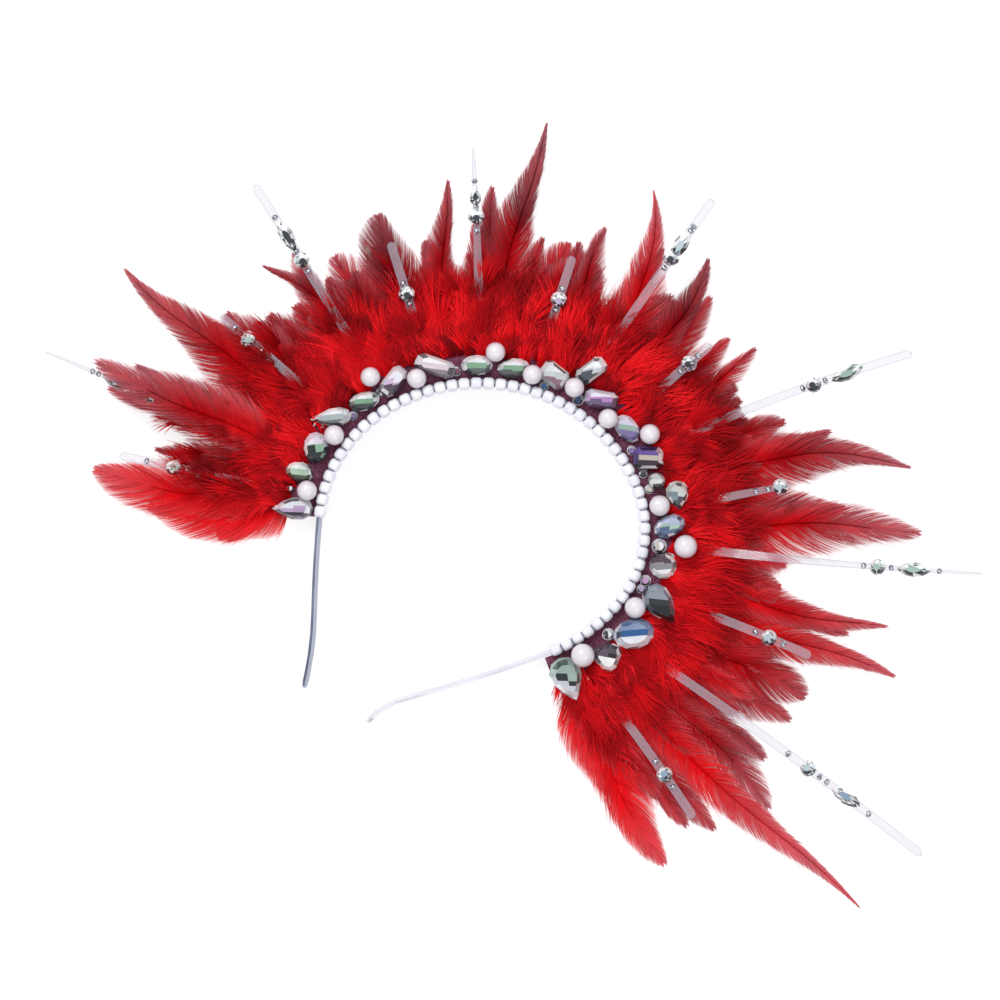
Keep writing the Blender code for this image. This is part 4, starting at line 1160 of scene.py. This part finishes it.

# %% [markdown]
# ### All the feathers
# Each bunch gets the long feathers of its share of the fan, a row of shorter ones below them, and locks of
# down above the roots: dark ones first, as painted shade, then bright ones, and short ones that come out
# between the stones.
# Some strips run under the feathers for part of their length, so locks climb from the feathers over them
# there. Two strips are seen down to the stones, so no locks start there.

# %% Make the seven bunches
FILL_STEP, FILL_SPACING = 4.2, 0.5
FAN_FROM, FAN_TO = -111.0, 117.0
DOWN_LAYERS = [
    # out from the felt's edge, height, length, step in degrees, strands, tone from and to
    # The first two layers are dark locks, painted shade under the bright ones.
    (12.0, 3.6, 24.0, 2.6, 44, 0.05, 0.45),
    (1.0, 4.2, 22.0, 2.2, 44, 0.0, 0.5),
    (6.0, 4.8, 22.0, 2.4, 48, 0.2, 1.0),
    (-2.0, 5.2, 20.0, 2.3, 48, 0.2, 1.0),
    (-4.5, 6.3, 12.0, 2.0, 34, 0.05, 0.8),
]
STRIP_VEILS = [
    # fan angle, from and to how far out, how far above the strip
    (-98.3, 78, 130, 1.2),
    (-108.3, 78, 96, 1.2),
    (-108.6, 96, 122, 4.5),
    (-81.2, 78, 96, 1.2),
    (-81.3, 96, 118, 4.5),
    (-65.0, 78, 106, 1.2),
    (-49.2, 78, 88, 1.2),
    (-33.4, 78, 106, 1.2),
    (0.4, 90, 104, 1.2),
    (29.5, 78, 104, 1.2),
    (46.0, 78, 92, 1.2),
]
VEIL_Z, VEIL_LENGTH, VEIL_STEP, VEIL_STRANDS = 4.2, 15.0, 3.0, 44
BARE_STRIPS = (90.2, 57.8)
rng = np.random.default_rng(7)
total = 0
for number, (low, high) in enumerate(zip(BUNCH_EDGES, BUNCH_EDGES[1:]), 1):
    made = FeatherMesh()
    for row in MAIN_FEATHERS:
        if low <= row.root_deg < high:
            add_feather(made, row, rng)
    first, last = max(low, FAN_FROM), min(high, FAN_TO)
    for degrees in np.arange(first + 1, last, FILL_STEP):
        row = Feather(degrees, degrees + rng.normal(0, 3), reach=rng.uniform(112, 127), bow=rng.normal(0, 1.5),
                      width=rng.uniform(17, 22), tip_z=rng.uniform(1.5, 3.2), point=rng.uniform(0.0, 0.4),
                      tone=rng.uniform(0.1, 0.5), sheer=rng.uniform(0.3, 0.6))
        add_feather(made, row, rng, FILL_SPACING)
    for out, z, reach, step, strands, dark, bright in DOWN_LAYERS:
        for degrees in np.arange(first + rng.uniform(0, step), last, step):
            if min(abs(degrees - bare) for bare in BARE_STRIPS) < step / 2 + 0.3:
                continue
            add_lock(made, degrees, strip_root(degrees) + out + rng.normal(0, 1.2), z + rng.uniform(0, 0.6),
                     rng.normal(0, 0.3), reach * rng.uniform(0.75, 1.2), strands, rng.uniform(dark, bright), rng)
    for degrees, near, far, rise in STRIP_VEILS:
        if low <= degrees < high:
            for radius in np.arange(near, far, VEIL_STEP):
                top = STRIP_ROOT_Z + max(0.0, radius + VEIL_LENGTH - STRIP_LEVEL_TO) * STRIP_RISE + rise
                add_lock(made, degrees + rng.normal(0, 1.6), radius, VEIL_Z, rng.normal(0, 0.25),
                         VEIL_LENGTH * rng.uniform(0.8, 1.2), VEIL_STRANDS, rng.uniform(0.1, 0.6), rng,
                         (top - VEIL_Z) / VEIL_LENGTH)
    name = f"feathers_{number}"
    obj, faces = made.make(name.replace("feathers", "plumes"), plume)
    finish_piece(obj, [name])
    total += faces
    print(obj.name, faces, "faces")
print("feather faces in all:", total)

# %% [markdown]
# ## Studio
# The photo is a cut-out on white with no shadow: the headband lies on a light table, a sheet of opal acrylic lit
# from below, as catalogues often use. Soft light comes from everywhere and a little more from the top left.
# So the floor glows a little by itself, under a bright even surround and two large panels.

# %% Floor and light
FLOOR_SIZE, FLOOR_GLOW = 4000.0, 0.77
SURROUND_STRENGTH = 0.6
PANELS = [("key panel", (-0.9, 0.5, 1.3), 0.6, 15.0), ("fill panel", (0.9, -0.5, 1.4), 1.0, 5.0)]
bm = bmesh.new()
bmesh.ops.create_grid(bm, x_segments=1, y_segments=1, size=FLOOR_SIZE)
acrylic, tree, shader = new_surface("opal acrylic, lit from below", Roughness=1.0, Emission_Strength=FLOOR_GLOW)
shader.inputs["Base Color"].default_value = linear("A0A0A2")
shader.inputs["Emission Color"].default_value = linear("FFFFFF")
floor = piece_from("floor", bm, acrylic)

world = bpy.data.worlds.new("studio")
world.use_nodes = True
surround = world.node_tree.nodes["Background"]
surround.inputs["Color"].default_value = linear("FAFBFF")
surround.inputs["Strength"].default_value = SURROUND_STRENGTH
bpy.context.scene.world = world

for name, spot, size, power in PANELS:
    data = bpy.data.lights.new(name, "AREA")
    data.shape, data.size, data.energy = "SQUARE", size, power
    panel = add_object(name, data)
    panel.location = spot
    panel.rotation_euler = (VIEW_CENTRE - Vector(spot)).to_track_quat("-Z", "Y").to_euler()
bpy.context.scene.view_settings.view_transform = "Standard"
print("studio lit")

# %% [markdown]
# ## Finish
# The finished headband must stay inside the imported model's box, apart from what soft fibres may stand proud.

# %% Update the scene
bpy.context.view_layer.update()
